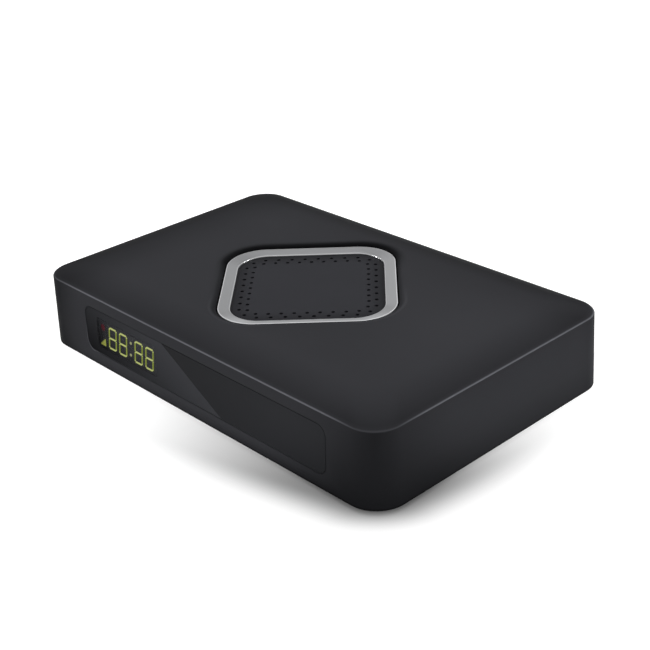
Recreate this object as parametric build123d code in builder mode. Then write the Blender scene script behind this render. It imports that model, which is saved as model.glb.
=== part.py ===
"""A satellite television receiver, built as an assembly of separate pieces.

Millimetres, +Z up. The origin is on the surface the feet stand on, at the middle of the
overall width and of the overall depth, aerial socket included. The display faces -Y.
"""

from build123d import *
import os
from math import atan2, cos, degrees, pi, radians, sin, sqrt, tan

os.makedirs("parts", exist_ok=True)

# ---------------------------------------------------------------- case
case_width = 180.0  # left to right, at the rim where the roof begins
case_depth = 114.7  # front to back, at the rim
rim_height = 27.6  # from the case's underside to the rim
corner_radius = 10.5  # plan radius of the rim's corners
wall_lean = 1.0  # how far each wall stands out at its foot
wall_thickness = 2.4
roof_thickness = 2.2
crown_rise = 3.9  # from the rim up to the flat middle of the roof
crown_steps = 4  # sections that carry the crown
rim_softening = 0.7  # fillet along the rim
flat_margin = 0.6  # flat roof left between the rolled opening and the crown
level_fit = 0.01  # edges this near a height belong to it

# ---------------------------------------------------------------- ring and grille
ring_half = 32.05  # half the ring's outer side
ring_corner = 14.6
ring_band = 4.45  # width of the ring's face in plan
ring_inner_corner = 11.2
ring_height = 2.6  # at its outer edge
ring_fall = 1.0  # the face falls this far from its outer to its inner edge
ring_sink = 1.0  # the ring's outer edge lies this far below the roof
ring_softening = 0.25
opening_gap = 0.1  # round the ring, at its foot
opening_roll = 2.5  # radius of the roof's rolled edge
well_wall = 1.6  # wall that carries the ring's seat
seat_thickness = 1.6
seat_overlap = 1.9  # how far the seat reaches in under the plate
plate_gap = 0.1
plate_thickness = 1.2
grille_hole = 1.5  # diameter
grille_holes = 36  # in each of the two rows
grille_first_row = 3.1  # from the ring's inner edge to the outer row
grille_row_step = 2.8  # between the two rows

# ---------------------------------------------------------------- front panel
panel_width = 130.4
panel_height = 17.8
panel_radius = 3.75
panel_x = 3.1  # centre of the panel, from the case's middle
panel_z = 14.2  # centre of the panel, up the front wall
panel_pocket = 0.9  # depth of the panel's seat in the front wall
panel_inset = 0.1  # the panel's face lies this far in
panel_gap = 0.15
split_top_inset = 47.0  # from the panel's left end to the slanted split, at the upper edge
split_foot_inset = 79.2  # and at the lower edge

# ---------------------------------------------------------------- clock display
window_inset = 6.2  # from the panel's left end
window_width = 50.4
window_height = 15.2
digit_height = 9.14  # the standard 0.36 inch digit
digit_width = 4.9
digit_stroke = 0.62
digit_slant = 7.0  # degrees
digit_gap = 0.16  # between the ends of neighbouring segments
digit_pitch = 6.55  # within each pair
pair_pitch = 16.15  # from the first digit to the third
colon_dot = 0.55  # radius
colon_rise = 2.5  # of each dot from the middle
clock_inset = 26.55  # from the panel's left end to the colon
clock_drop = 1.05  # of the digits' middle below the panel's
clock_width = 30.2
clock_height = 14.0
clock_depth = 7.2
lens_air = 0.1  # between the lens and what shines through it
segment_depth = 0.15
lamp_inset = 9.45  # from the panel's left end
lamp_rise = 2.05  # above the panel's middle
lamp_radius = 1.3
lamp_block_width = 4.9
lamp_block_gap = 0.15  # between it and the clock
lamp_block_height = 12.4
bars_inset = 7.3  # from the panel's left end to the bar symbol
bars_drop = 5.55  # of its foot below the panel's middle
bar_count = 4
bar_width = 0.5
bar_step = 0.8
bar_growth = 0.7
sensor_inset = 50.6  # from the panel's left end
sensor_width = 5.6
sensor_height = 7.0
sensor_depth = 4.4
sensor_dome = 1.9  # radius
sensor_dome_height = 1.1
sensor_dome_softening = 0.9
display_board_height = 16.6
display_board_thickness = 1.6
display_board_margin = 4.15  # past the bosses at each end
display_boss_radius = 2.7
display_boss_left_inset = 2.9  # from the panel's left end
display_boss_right_inset = 21.3  # from the panel's right end

# ---------------------------------------------------------------- base, feet and fasteners
pan_thickness = 2.0
pan_gap = 0.15
foot_height = 2.0  # below the case
foot_radius = 7.0
foot_softening = 0.5
foot_seat = 0.6  # depth of the foot's recess in the pan
foot_side_inset = 22.0  # from the rim's side
foot_end_inset = 15.35  # from the rim's front or back
boss_radius = 3.3
boss_side_inset = 9.5
boss_end_inset = 9.85
screw_radius = 1.45
screw_head_radius = 2.75
screw_head_height = 1.9
screw_clearance = 0.05
screw_length = 8.0
screw_slot = 0.7  # width of the cross recess
screw_cross = 2.8  # its span
screw_slot_depth = 0.9
head_recess = 0.4  # the case screws' heads start this far up in the pan
short_screw_length = 5.0
vent_slot_length = 22.0
vent_slot_width = 2.4
vent_slot_step = 5.4
vent_slots = 9  # in each bank
vent_bank_x = 30.0

# ---------------------------------------------------------------- rear
panel_setback = 1.35  # the rear panel's face, in from the rim's back
rear_panel_thickness = 1.2
rear_panel_side = 12.6  # from the rim's side to the panel's end
rear_panel_gap = 0.15
rear_lap = 1.4  # how far the panel laps behind the wall round the cut-out
cutout_head = 0.4  # of the rear wall's cut-out, above the aerial's washer
port_gap = 0.25  # round everything that passes the rear panel
keeper_width = 12.0
keeper_thickness = 1.2
keeper_height = 3.6
keeper_x = 40.0

# ---------------------------------------------------------------- main board
board_side_gap = 4.0  # from the cut-out's end to the board's side
board_front_gap = 13.95  # from the front wall's inner face to the board
board_back_gap = 0.5  # behind it, to the rear panel
board_thickness = 1.6
standoff_height = 5.0
standoff_radius = 3.0
board_hole_inset = 6.0  # from the board's sides and front edge
board_hole_tuner_gap = 8.0  # the other two, in front of the tuner

# ---------------------------------------------------------------- rear sockets
row_margin = 4.5  # from the cut-out's ends to the outermost sockets
aerial_length = 10.0  # beyond the rear panel
aerial_radius = 4.76  # over its thread, outside the nut
aerial_shank_radius = 4.6  # through the panel, washer and nut
aerial_bore = 3.4
aerial_contact_bore = 0.6
aerial_insulator_depth = 0.6  # its face, in from the mouth
nut_across = 13.0
nut_thickness = 2.4
washer_radius = 7.2
washer_thickness = 0.6
tuner_width = 28.0
tuner_depth = 38.0
tuner_height = 12.4
tin = 0.5
tuner_set_in = 0.3  # its back wall, in from the board's back edge
av_width = 7.0
av_height = 7.4
av_depth = 12.0
av_nose_radius = 3.0
av_nose = 1.6
av_bore_radius = 1.8
optical_width = 10.4
optical_height = 10.2
optical_depth = 13.0
optical_cavity_width = 8.4
optical_cavity_height = 6.8
optical_cavity_depth = 9.0
shutter_thickness = 0.6
shutter_set_in = 0.9  # its axis, in from the socket's face
shutter_pin = 0.45
shutter_eye = 0.55
shutter_fit = 0.05
shutter_side_gap = 0.15
hdmi_width = 15.0
hdmi_height = 5.6
hdmi_depth = 11.4
hdmi_wall = 0.5
hdmi_corner = 2.0
hdmi_tongue_width = 11.2
hdmi_tongue_thickness = 1.1
hdmi_tongue_depth = 9.0
usb_width = 13.2
usb_height = 5.8
usb_depth = 14.0
usb_wall = 0.35
usb_tongue_width = 11.2
usb_tongue_thickness = 1.85
usb_tongue_depth = 10.0
lan_width = 16.0
lan_height = 13.4
lan_depth = 20.0
lan_cavity_width = 11.8
lan_cavity_height = 7.0
lan_cavity_depth = 13.0
lan_cavity_foot = 3.4
lan_latch_width = 6.2
lan_latch_height = 1.6
lan_wires = 8
lan_contact_pitch = 1.02
lan_contact_radius = 0.2
socket_stand_out = 0.6  # how far the plain sockets pass the rear panel
reset_z_above_board = 3.2
reset_body = 5.6
reset_body_height = 6.0
reset_pin_radius = 1.5
reset_softening = 0.4
reset_stand_out = 1.4
reset_travel = 0.8
reset_shoulder = 2.1  # radius of the button's inner collar
reset_collar = 0.5
reset_collar_gap = 0.1  # behind the rear panel
reset_body_gap = 2.0  # from the rear panel to the switch's body
reset_stem = 1.5  # the button's reach into the switch's body
reset_fit = 0.05
dc_width = 8.8
dc_height = 10.8
dc_depth = 13.4
dc_bore_radius = 3.2
dc_bore_depth = 10.0
dc_pin_radius = 1.0
dc_pin_softening = 0.5
dc_height_above_board = 6.2
switch_z = 12.8
switch_bezel_width = 11.0
switch_bezel_height = 16.2
switch_bezel_thickness = 1.6
switch_bezel_softening = 0.5
switch_housing_width = 8.8
switch_housing_height = 14.0
switch_depth = 13.0
switch_wall = 0.8
rocker_radius = 5.9
rocker_gap = 0.15
rocker_axis_in = 1.2  # its axis, in from the rear panel's face
rocker_pin = 0.8
rocker_fit = 0.05
rocker_crest = 3.0  # the ends of its face, out from the panel
rocker_dip = 2.2  # the middle of its face
rocker_keel = 2.0  # below its axis
rocker_tilt = 12.0  # degrees from level, either way
rocker_pocket = 6.0  # depth of the pocket from the panel's face
rocker_pin_length = 0.6
switch_tab_width = 0.8
switch_tab_height = 4.0
switch_tab_length = 3.0
switch_tab_step = 7.0
lead_radius = 0.7
lead_reach = 5.0  # behind the tabs
lead_bend = 2.6
lead_landing = 1.3  # from the board's notch to the leads' feet

# ---------------------------------------------------------------- board parts
chip_size = 17.0
chip_height = 1.4
chip_x = -4.0
chip_y = 2.0
pad_thickness = 0.5
sink_size = 36.0
sink_base = 2.0
sink_height = 9.0
sink_fins = 9
sink_fin_thickness = 1.2
memory_width = 8.0
memory_length = 13.0
memory_height = 1.1
memory_x = 28.5
memory_y = 0.0
memory_step_x = 11.0
memory_step_y = 16.0
flash_width = 12.0
flash_length = 18.4
flash_height = 1.1
flash_x = -34.0
flash_set_in = 23.0  # from the board's front edge
demodulator_size = 12.0
demodulator_height = 1.2
demodulator_offset = 3.0  # from the tuner's middle, towards the case's
demodulator_gap = 16.0  # in front of the tuner
capacitor_radius = 4.0
capacitor_height = 12.0
capacitor_groove = 0.35
coil_size = 7.0
coil_height = 3.6
coil_corner = 1.0
capacitor_inset = 17.0  # from the board's side to the middle of the four
capacitor_gap = 3.8  # in front of the notch
capacitor_step = 10.0
coil_inset = 24.0  # from the board's side to the middle coil
coil_gap = 19.0  # from the middle of the capacitors
coil_step = 10.0
coils = 3
transformer_width = 16.0
transformer_length = 9.0
transformer_height = 5.4
transformer_gap = 6.5  # in front of the network socket
transformer_offset = 3.0  # from that socket's middle, away from the heat sink
crystal_width = 11.2
crystal_length = 4.6
crystal_height = 3.4
crystal_x = -12.0
crystal_set_in = 15.0  # from the board's front edge
ribbon_x = 22.0
ribbon_width = 12.0
ribbon_thickness = 0.3
ribbon_bend = 3.0
ribbon_z = 17.0  # where it leaves the display board, up the front wall
ribbon_set_in = 5.5  # from the main board's front edge to its socket
ribbon_lead = 0.05  # the ribbon's ends stand this far off the sockets
ribbon_socket_width = 15.0
ribbon_socket_depth = 3.6
ribbon_socket_height = 4.0

# ---------------------------------------------------------------- worked out from the above
lean_angle = degrees(atan2(wall_lean, rim_height))
crown_top = rim_height + crown_rise
opening_half = ring_half + opening_gap
opening_corner = ring_corner + opening_gap
opening_reach = (opening_half - opening_corner) * sqrt(2) + opening_corner
crown_run = case_depth / 2 - opening_reach - opening_roll - flat_margin
ring_inner_half = ring_half - ring_band
ring_top = crown_top - ring_sink
seat_top = ring_top - ring_height
seat_foot = seat_top - seat_thickness
plate_half = ring_inner_half - plate_gap
plate_corner = ring_inner_corner - plate_gap
seat_half = ring_inner_half - seat_overlap
seat_corner = ring_inner_corner - seat_overlap

rear_face = case_depth / 2 - panel_setback
aerial_end = rear_face + aerial_length
front_foot = case_depth / 2 + wall_lean
case_y = -(aerial_end - front_foot) / 2

base = Plane(origin=(0, case_y, foot_height))
rear = Plane(origin=(0, case_y + rear_face, foot_height), x_dir=(-1, 0, 0), z_dir=(0, 1, 0))
lean = radians(lean_angle)
front = Plane(
    origin=(0, case_y - front_foot, foot_height),
    x_dir=(1, 0, 0),
    z_dir=(0, -cos(lean), sin(lean)),
)
front_axis = Axis(front.origin, front.z_dir)

board_bottom = pan_thickness + standoff_height
board_top = board_bottom + board_thickness
board_back = rear_face - rear_panel_thickness - board_back_gap
board_front = -(case_depth / 2 - wall_thickness - board_front_gap)
board_depth = board_back - board_front
board_y = (board_back + board_front) / 2
tuner_back = board_back - tuner_set_in
tuner_front = tuner_back - tuner_depth


def corners(x, y):
    """The four points at plus and minus x and y."""
    return [(sx * x, sy * y) for sx in (-1, 1) for sy in (-1, 1)]


boss_points = corners(case_width / 2 - boss_side_inset, case_depth / 2 - boss_end_inset)
foot_points = corners(case_width / 2 - foot_side_inset, case_depth / 2 - foot_end_inset)

lens_thickness = panel_pocket - panel_inset
clock_face = panel_pocket + lens_air + segment_depth  # depths in from the front wall
display_board_face = clock_face + clock_depth
panel_left = panel_x - panel_width / 2
panel_right = panel_x + panel_width / 2
window_x = panel_left + window_inset + window_width / 2
clock_x = panel_left + clock_inset
clock_z = panel_z - clock_drop
lamp_x = panel_left + lamp_inset
bars_x = panel_left + bars_inset
sensor_x = panel_left + sensor_inset
split_top_x = panel_left + split_top_inset
split_foot_x = panel_left + split_foot_inset
display_boss_left = panel_left + display_boss_left_inset
display_boss_right = panel_right - display_boss_right_inset
display_bosses = [(display_boss_left, panel_z), (display_boss_right, panel_z)]
display_board_width = display_boss_right - display_boss_left + 2 * display_board_margin
display_board_x = (display_boss_left + display_boss_right) / 2
lamp_block_x = clock_x - (clock_width + lamp_block_width) / 2 - lamp_block_gap

aerial_z = board_top + tuner_height / 2
cutout_top = aerial_z + washer_radius + cutout_head
rear_panel_half = case_width / 2 - rear_panel_side
cutout_half = rear_panel_half - rear_lap
board_width = 2 * (cutout_half - board_side_gap)
board_hole_x = board_width / 2 - board_hole_inset
board_holes = [
    (side * board_hole_x, y)
    for side in (-1, 1)
    for y in (board_front + board_hole_inset, tuner_front - board_hole_tuner_gap)
]
# the sockets stand in a row, from the aerial's side to the switch's, all the same gap apart
row_widths = [
    tuner_width, av_width, optical_width, hdmi_width, usb_width, lan_width, reset_body,
    dc_width, switch_bezel_width,
]
row_span = 2 * (cutout_half - row_margin)
socket_gap = (row_span - sum(row_widths)) / (len(row_widths) - 1)
row_x = [
    row_span / 2 - sum(row_widths[:place]) - place * socket_gap - width / 2
    for place, width in enumerate(row_widths)
]
aerial_x, av_x, optical_x, hdmi_x, usb_x, lan_x, reset_x, dc_x, switch_x = row_x
# a corner of the board is cut away for the switch, up to where its leads land
notch_width = board_width / 2 + switch_x + (switch_bezel_width + socket_gap) / 2
lead_foot = rear_face - switch_depth - switch_tab_length - lead_reach
notch_front = lead_foot + lead_landing


# ---------------------------------------------------------------- shared shapes
def finish(piece, name):
    """Label a piece and write it to its own file."""
    piece.part.label = name
    export_step(piece.part, f"parts/{name}.step")


def block(plane, x, y, width, depth, height, mode=Mode.ADD):
    """A box that stands on a plane, centred on x, y."""
    with BuildSketch(plane) as outline:
        with Locations((x, y)):
            Rectangle(width, depth)
    extrude(outline.sketch, amount=height, mode=mode)


def post(plane, points, radius, height, mode=Mode.ADD):
    """Round posts, or holes, that start at a plane."""
    with BuildSketch(plane) as outline:
        with Locations(*points):
            Circle(radius)
    extrude(outline.sketch, amount=height, mode=mode)


def diamond(plane, half, corner, height, mode=Mode.ADD):
    """A rounded square turned by 45 degrees, standing on a plane."""
    with BuildSketch(plane) as outline:
        RectangleRounded(2 * half, 2 * half, corner, rotation=45)
    extrude(outline.sketch, amount=height, mode=mode)


def crowned_block(width, depth, corner, height, run):
    """Leaning walls up to a rim, then a roof that rises from it along a parabola."""
    with BuildSketch(base) as footprint:
        RectangleRounded(width + 2 * wall_lean, depth + 2 * wall_lean, corner + wall_lean)
    extrude(footprint.sketch, amount=height, taper=degrees(atan2(wall_lean, height)))
    sections = []
    for step in range(crown_steps + 1):
        share = step / crown_steps
        rise = crown_rise * (1 - (1 - share) ** 2)
        with BuildSketch(base.offset(height + rise)) as section:
            RectangleRounded(width - 2 * run * share, depth - 2 * run * share, corner)
        sections.append(section.sketch.faces()[0])
    loft(sections)


def along_row(half, corner, share):
    """A point a share of the way round a diamond, from the middle of its +X corner."""
    arc = corner * pi / 2
    straight = 2 * (half - corner)
    quarter = arc + straight
    side, rest = divmod((share % 1) * 4 * quarter, quarter)
    centre = half - corner
    if rest < arc / 2:
        turn = pi / 4 + rest / corner
        x, y = centre + corner * cos(turn), centre + corner * sin(turn)
    elif rest < arc / 2 + straight:
        x, y = centre - (rest - arc / 2), half
    else:
        turn = pi / 2 + (rest - arc / 2 - straight) / corner
        x, y = -centre + corner * cos(turn), centre + corner * sin(turn)
    turn = side * pi / 2 - pi / 4
    return (x * cos(turn) - y * sin(turn), x * sin(turn) + y * cos(turn))


def screws(plane, points, length):
    """Pan-head screws, their heads standing on a plane and their shanks going down from it."""
    post(plane, points, screw_radius, -length)
    post(plane, points, screw_head_radius, screw_head_height)
    top = plane.offset(screw_head_height)
    for x, y in points:
        block(top, x, y, screw_cross, screw_slot, -screw_slot_depth, Mode.SUBTRACT)
        block(top, x, y, screw_slot, screw_cross, -screw_slot_depth, Mode.SUBTRACT)


# ---------------------------------------------------------------- top cover
inner_run = crown_run - wall_thickness
with BuildPart() as cavity:
    crowned_block(
        case_width - 2 * wall_thickness,
        case_depth - 2 * wall_thickness,
        corner_radius - wall_thickness,
        rim_height - roof_thickness,
        inner_run,
    )
    # the screw posts and the well round the ring's seat are left standing
    post(base.offset(pan_thickness), boss_points, boss_radius, crown_top, Mode.SUBTRACT)
    diamond(
        base.offset(seat_foot), opening_half + well_wall, opening_corner + well_wall,
        crown_top, Mode.SUBTRACT,
    )
    # room behind the rear wall for the rear panel
    panel_room = rear_panel_half + rear_panel_gap
    block(
        base, 0, rear_face - wall_thickness, 2 * panel_room, 2 * wall_thickness,
        cutout_top + rear_lap + rear_panel_gap,
    )

with BuildPart() as top_cover:
    crowned_block(case_width, case_depth, corner_radius, rim_height, crown_run)
    rim_edges = top_cover.edges().filter_by_position(
        Axis.Z, foot_height + rim_height - level_fit, foot_height + rim_height + level_fit
    )
    fillet(rim_edges, radius=rim_softening)
    add(cavity.part, mode=Mode.SUBTRACT)
    diamond(base.offset(seat_top), opening_half, opening_corner, crown_top, Mode.SUBTRACT)
    diamond(base.offset(seat_foot), seat_half, seat_corner, crown_top, Mode.SUBTRACT)
    roof_face = top_cover.faces().sort_by(Axis.Z)[-1]
    fillet(roof_face.inner_wires()[0].edges(), radius=opening_roll)
    # the front panel's seat, and the window behind its lens
    with BuildSketch(front) as seat:
        with Locations((panel_x, panel_z)):
            RectangleRounded(panel_width, panel_height, panel_radius)
    extrude(seat.sketch, amount=-panel_pocket, mode=Mode.SUBTRACT)
    block(
        front, window_x, panel_z, window_width, window_height,
        -wall_thickness * 2, Mode.SUBTRACT,
    )
    boss_root = front.offset(-display_board_face)
    post(boss_root, display_bosses, display_boss_radius, display_board_face - panel_pocket)
    post(
        boss_root, display_bosses, screw_radius + screw_clearance,
        display_board_face - wall_thickness, Mode.SUBTRACT,
    )
    # the rear wall is open from its foot up to the cut-out's top
    block(
        base, 0, rear_face + wall_thickness, 2 * cutout_half, 3 * wall_thickness,
        cutout_top, Mode.SUBTRACT,
    )
    post(
        base.offset(pan_thickness), boss_points, screw_radius + screw_clearance,
        screw_length, Mode.SUBTRACT,
    )
finish(top_cover, "top_cover")

# ---------------------------------------------------------------- ring and grille plate
with BuildPart() as bezel_ring:
    diamond(base.offset(seat_top), ring_half, ring_corner, ring_height)
    # the face falls inwards, so a shallow frustum is taken out of it
    with BuildSketch(base.offset(ring_top - ring_fall)) as face_foot:
        RectangleRounded(2 * ring_inner_half, 2 * ring_inner_half, ring_inner_corner, rotation=45)
    with BuildSketch(base.offset(ring_top)) as face_head:
        RectangleRounded(2 * ring_half, 2 * ring_half, ring_corner, rotation=45)
    loft([face_foot.sketch.faces()[0], face_head.sketch.faces()[0]], ruled=True, mode=Mode.SUBTRACT)
    diamond(base.offset(seat_top), ring_inner_half, ring_inner_corner, ring_height, Mode.SUBTRACT)
    face_low = foot_height + ring_top - ring_fall
    inner_rim = bezel_ring.edges().filter_by_position(
        Axis.Z, face_low - level_fit, face_low + level_fit
    )
    fillet(inner_rim, radius=ring_softening)
finish(bezel_ring, "bezel_ring")

row_halves = [
    ring_inner_half - grille_first_row,
    ring_inner_half - grille_first_row - grille_row_step,
]
hole_points = []
for row, half in enumerate(row_halves):
    corner = ring_inner_corner - (ring_inner_half - half)
    for hole in range(grille_holes):
        hole_points.append(along_row(half, corner, (hole + row / 2) / grille_holes))

with BuildPart() as grille_plate:
    diamond(base.offset(seat_top), plate_half, plate_corner, plate_thickness)
    post(base.offset(seat_top), hole_points, grille_hole / 2, plate_thickness, Mode.SUBTRACT)
finish(grille_plate, "grille_plate")

# ---------------------------------------------------------------- front lens and fascia
split_run = split_foot_x - split_top_x
split_step = panel_gap / 2


def front_pane(side):
    """The front panel's left (-1) or right (1) part, up to the slanted split."""
    # the split's line runs on by its own length above and below the panel
    split_head = panel_z + 1.5 * panel_height
    split_foot = panel_z - 1.5 * panel_height
    with BuildPart() as pane:
        with BuildSketch(front.offset(-panel_pocket)) as outline:
            with Locations((panel_x, panel_z)):
                RectangleRounded(
                    panel_width - 2 * panel_gap, panel_height - 2 * panel_gap,
                    panel_radius - panel_gap,
                )
            Polygon(
                (split_top_x + side * split_step - split_run, split_head),
                (split_foot_x + side * split_step + split_run, split_foot),
                (side * panel_width, split_foot),
                (side * panel_width, split_head),
                mode=Mode.INTERSECT,
            )
        extrude(outline.sketch, amount=lens_thickness)
    return pane


display_lens = front_pane(-1)
finish(display_lens, "display_lens")
front_fascia = front_pane(1)
finish(front_fascia, "front_fascia")

# ---------------------------------------------------------------- clock display
clock_plane = front.offset(-clock_face)
display_board_plane = front.offset(-display_board_face)

with BuildPart() as digit_display:
    block(display_board_plane, clock_x, panel_z, clock_width, clock_height, clock_depth)
finish(digit_display, "digit_display")


def slanted(x, y):
    """A point of an upright digit, leaned over by the digits' slant."""
    return (x + y * tan(radians(digit_slant)), y)


def segment(centre_x, x0, y0, x1, y1):
    """One lit segment: a bar with pointed ends from one corner of the digit to the next."""
    length = sqrt((x1 - x0) ** 2 + (y1 - y0) ** 2)
    along_x, along_y = (x1 - x0) / length, (y1 - y0) / length
    half = digit_stroke / 2
    outline = []
    for run, side in (
        (digit_gap, 0), (digit_gap + half, 1), (length - digit_gap - half, 1),
        (length - digit_gap, 0), (length - digit_gap - half, -1), (digit_gap + half, -1),
    ):
        x = x0 + along_x * run - along_y * side * half
        y = y0 + along_y * run + along_x * side * half
        lean_x, lean_y = slanted(x, y)
        outline.append((centre_x + lean_x, clock_z + lean_y))
    Polygon(*outline)


stroke_x = (digit_width - digit_stroke) / 2
stroke_y = (digit_height - digit_stroke) / 2
segment_ends = [
    (-stroke_x, stroke_y, stroke_x, stroke_y),
    (-stroke_x, 0, stroke_x, 0),
    (-stroke_x, -stroke_y, stroke_x, -stroke_y),
    (-stroke_x, 0, -stroke_x, stroke_y),
    (stroke_x, 0, stroke_x, stroke_y),
    (-stroke_x, -stroke_y, -stroke_x, 0),
    (stroke_x, -stroke_y, stroke_x, 0),
]
pair_middle = pair_pitch / 2
digit_centres = [
    clock_x + pair * pair_middle + place * digit_pitch / 2 for pair in (-1, 1) for place in (-1, 1)
]
with BuildPart() as display_segments:
    with BuildSketch(clock_plane) as lit:
        for centre in digit_centres:
            for ends in segment_ends:
                segment(centre, *ends)
        for rise in (-colon_rise, colon_rise):
            dot_x, dot_y = slanted(0, rise)
            with Locations((clock_x + dot_x, clock_z + dot_y)):
                Circle(colon_dot)
    extrude(lit.sketch, amount=segment_depth)
finish(display_segments, "display_segments")

with BuildPart() as lamp_block:
    block(
        display_board_plane, lamp_block_x, panel_z, lamp_block_width, lamp_block_height, clock_depth
    )
finish(lamp_block, "lamp_block")

with BuildPart() as standby_lamp:
    post(clock_plane, [(lamp_x, panel_z + lamp_rise)], lamp_radius, segment_depth)
finish(standby_lamp, "standby_lamp")

with BuildPart() as signal_bars:
    with BuildSketch(clock_plane) as bars:
        for bar in range(bar_count):
            height = bar_growth * (bar + 1)
            with Locations((bars_x + bar * bar_step, panel_z - bars_drop)):
                Rectangle(bar_width, height, align=(Align.MIN, Align.MIN))
    extrude(bars.sketch, amount=segment_depth)
finish(signal_bars, "signal_bars")

with BuildPart() as remote_sensor:
    block(display_board_plane, sensor_x, panel_z, sensor_width, sensor_height, sensor_depth)
    with BuildSketch(display_board_plane.offset(sensor_depth)) as lens_base:
        with Locations((sensor_x, panel_z)):
            Circle(sensor_dome)
    extrude(lens_base.sketch, amount=sensor_dome_height)
    dome_top = remote_sensor.faces().sort_by(front_axis)[-1]
    fillet(dome_top.edges(), radius=sensor_dome_softening)
finish(remote_sensor, "remote_sensor")

with BuildPart() as display_board:
    block(
        display_board_plane, display_board_x, panel_z, display_board_width, display_board_height,
        -display_board_thickness,
    )
    post(
        display_board_plane, display_bosses, screw_radius + screw_clearance,
        -display_board_thickness, Mode.SUBTRACT,
    )
finish(display_board, "display_board")

display_back = Plane(
    origin=display_board_plane.offset(-display_board_thickness).origin,
    x_dir=(-1, 0, 0),
    z_dir=-front.z_dir,
)
with BuildPart() as display_screws:
    screws(display_back, [(-x, z) for x, z in display_bosses], short_screw_length)
finish(display_screws, "display_screws")

# ---------------------------------------------------------------- base pan, feet, case screws
inner_foot_width = case_width + 2 * wall_lean - 2 * wall_thickness
inner_foot_depth = case_depth + 2 * wall_lean - 2 * wall_thickness
pan_corner = corner_radius + wall_lean - wall_thickness - pan_gap
pan_lean = wall_lean * pan_thickness / rim_height
head_bore = screw_head_radius + pan_gap
with BuildPart() as base_pan:
    with BuildSketch(base) as pan_outline:
        RectangleRounded(
            inner_foot_width - 2 * pan_gap, inner_foot_depth - 2 * pan_gap, pan_corner
        )
    extrude(pan_outline.sketch, amount=pan_thickness, taper=lean_angle)
    # a tongue fills the foot of the rear cut-out
    tongue_back = front_foot - pan_lean
    tongue_front = case_depth / 2 - 2 * wall_thickness
    block(
        base, 0, (tongue_back + tongue_front) / 2, 2 * (cutout_half - pan_gap),
        tongue_back - tongue_front, pan_thickness,
    )
    post(base.offset(pan_thickness), board_holes, standoff_radius, standoff_height)
    for side in (-1, 1):
        block(
            base.offset(pan_thickness), side * keeper_x,
            rear_face - rear_panel_thickness - keeper_thickness / 2,
            keeper_width, keeper_thickness, keeper_height,
        )
    post(
        base.offset(pan_thickness), board_holes, screw_radius + screw_clearance,
        standoff_height, Mode.SUBTRACT,
    )
    post(base, boss_points, screw_radius + screw_clearance, pan_thickness, Mode.SUBTRACT)
    post(base, boss_points, head_bore, head_recess, Mode.SUBTRACT)
    post(base, foot_points, foot_radius + pan_gap, foot_seat, Mode.SUBTRACT)
    for bank in (-1, 1):
        with BuildSketch(base) as slots:
            with GridLocations(0, vent_slot_step, 1, vent_slots):
                with Locations((bank * vent_bank_x, 0)):
                    SlotOverall(vent_slot_length, vent_slot_width)
        extrude(slots.sketch, amount=pan_thickness, mode=Mode.SUBTRACT)
finish(base_pan, "base_pan")

with BuildPart() as rubber_feet:
    post(base.offset(foot_seat), foot_points, foot_radius, -foot_seat - foot_height)
    tread = rubber_feet.edges().group_by(Axis.Z)[0]
    fillet(tread, radius=foot_softening)
finish(rubber_feet, "rubber_feet")

underside = Plane(origin=(0, case_y, foot_height + head_recess), x_dir=(1, 0, 0), z_dir=(0, 0, -1))
with BuildPart() as case_screws:
    screws(underside, [(x, -y) for x, y in boss_points], screw_length)
finish(case_screws, "case_screws")

# ---------------------------------------------------------------- rear panel
panel_back = rear.offset(-rear_panel_thickness)
av_z = board_top + av_height / 2
reset_z = board_top + reset_z_above_board
optical_z = board_top + optical_height / 2
hdmi_z = board_top + hdmi_height / 2
usb_z = board_top + usb_height / 2
lan_z = board_top + lan_height / 2
dc_z = board_top + dc_height / 2
square_ports = [
    (optical_x, optical_z, optical_width, optical_height),
    (hdmi_x, hdmi_z, hdmi_width, hdmi_height),
    (usb_x, usb_z, usb_width, usb_height),
    (lan_x, lan_z, lan_width, lan_height),
    (dc_x, dc_z, dc_width, dc_height),
    (switch_x, switch_z, switch_housing_width, switch_housing_height),
]
round_ports = [
    (aerial_x, aerial_z, aerial_shank_radius),
    (av_x, av_z, av_nose_radius),
    (reset_x, reset_z, reset_pin_radius),
]
rear_panel_top = cutout_top + rear_lap
with BuildPart() as rear_panel:
    block(
        panel_back, 0, (pan_thickness + rear_panel_top) / 2, 2 * rear_panel_half,
        rear_panel_top - pan_thickness, rear_panel_thickness,
    )
    for x, z, width, height in square_ports:
        block(
            panel_back, -x, z, width + 2 * port_gap, height + 2 * port_gap,
            rear_panel_thickness, Mode.SUBTRACT,
        )
    for x, z, radius in round_ports:
        post(panel_back, [(-x, z)], radius + port_gap, rear_panel_thickness, Mode.SUBTRACT)
finish(rear_panel, "rear_panel")

# ---------------------------------------------------------------- main board
notch_x = -board_width / 2 + notch_width / 2
with BuildPart() as main_board:
    block(base.offset(board_bottom), 0, board_y, board_width, board_depth, board_thickness)
    block(
        base.offset(board_bottom), notch_x, (board_back + notch_front) / 2,
        notch_width, board_back - notch_front, board_thickness, Mode.SUBTRACT,
    )
    post(
        base.offset(board_bottom), board_holes, screw_radius + screw_clearance,
        board_thickness, Mode.SUBTRACT,
    )
finish(main_board, "main_board")

on_board = base.offset(board_top)
with BuildPart() as board_screws:
    screws(on_board, board_holes, short_screw_length)
finish(board_screws, "board_screws")

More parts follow.
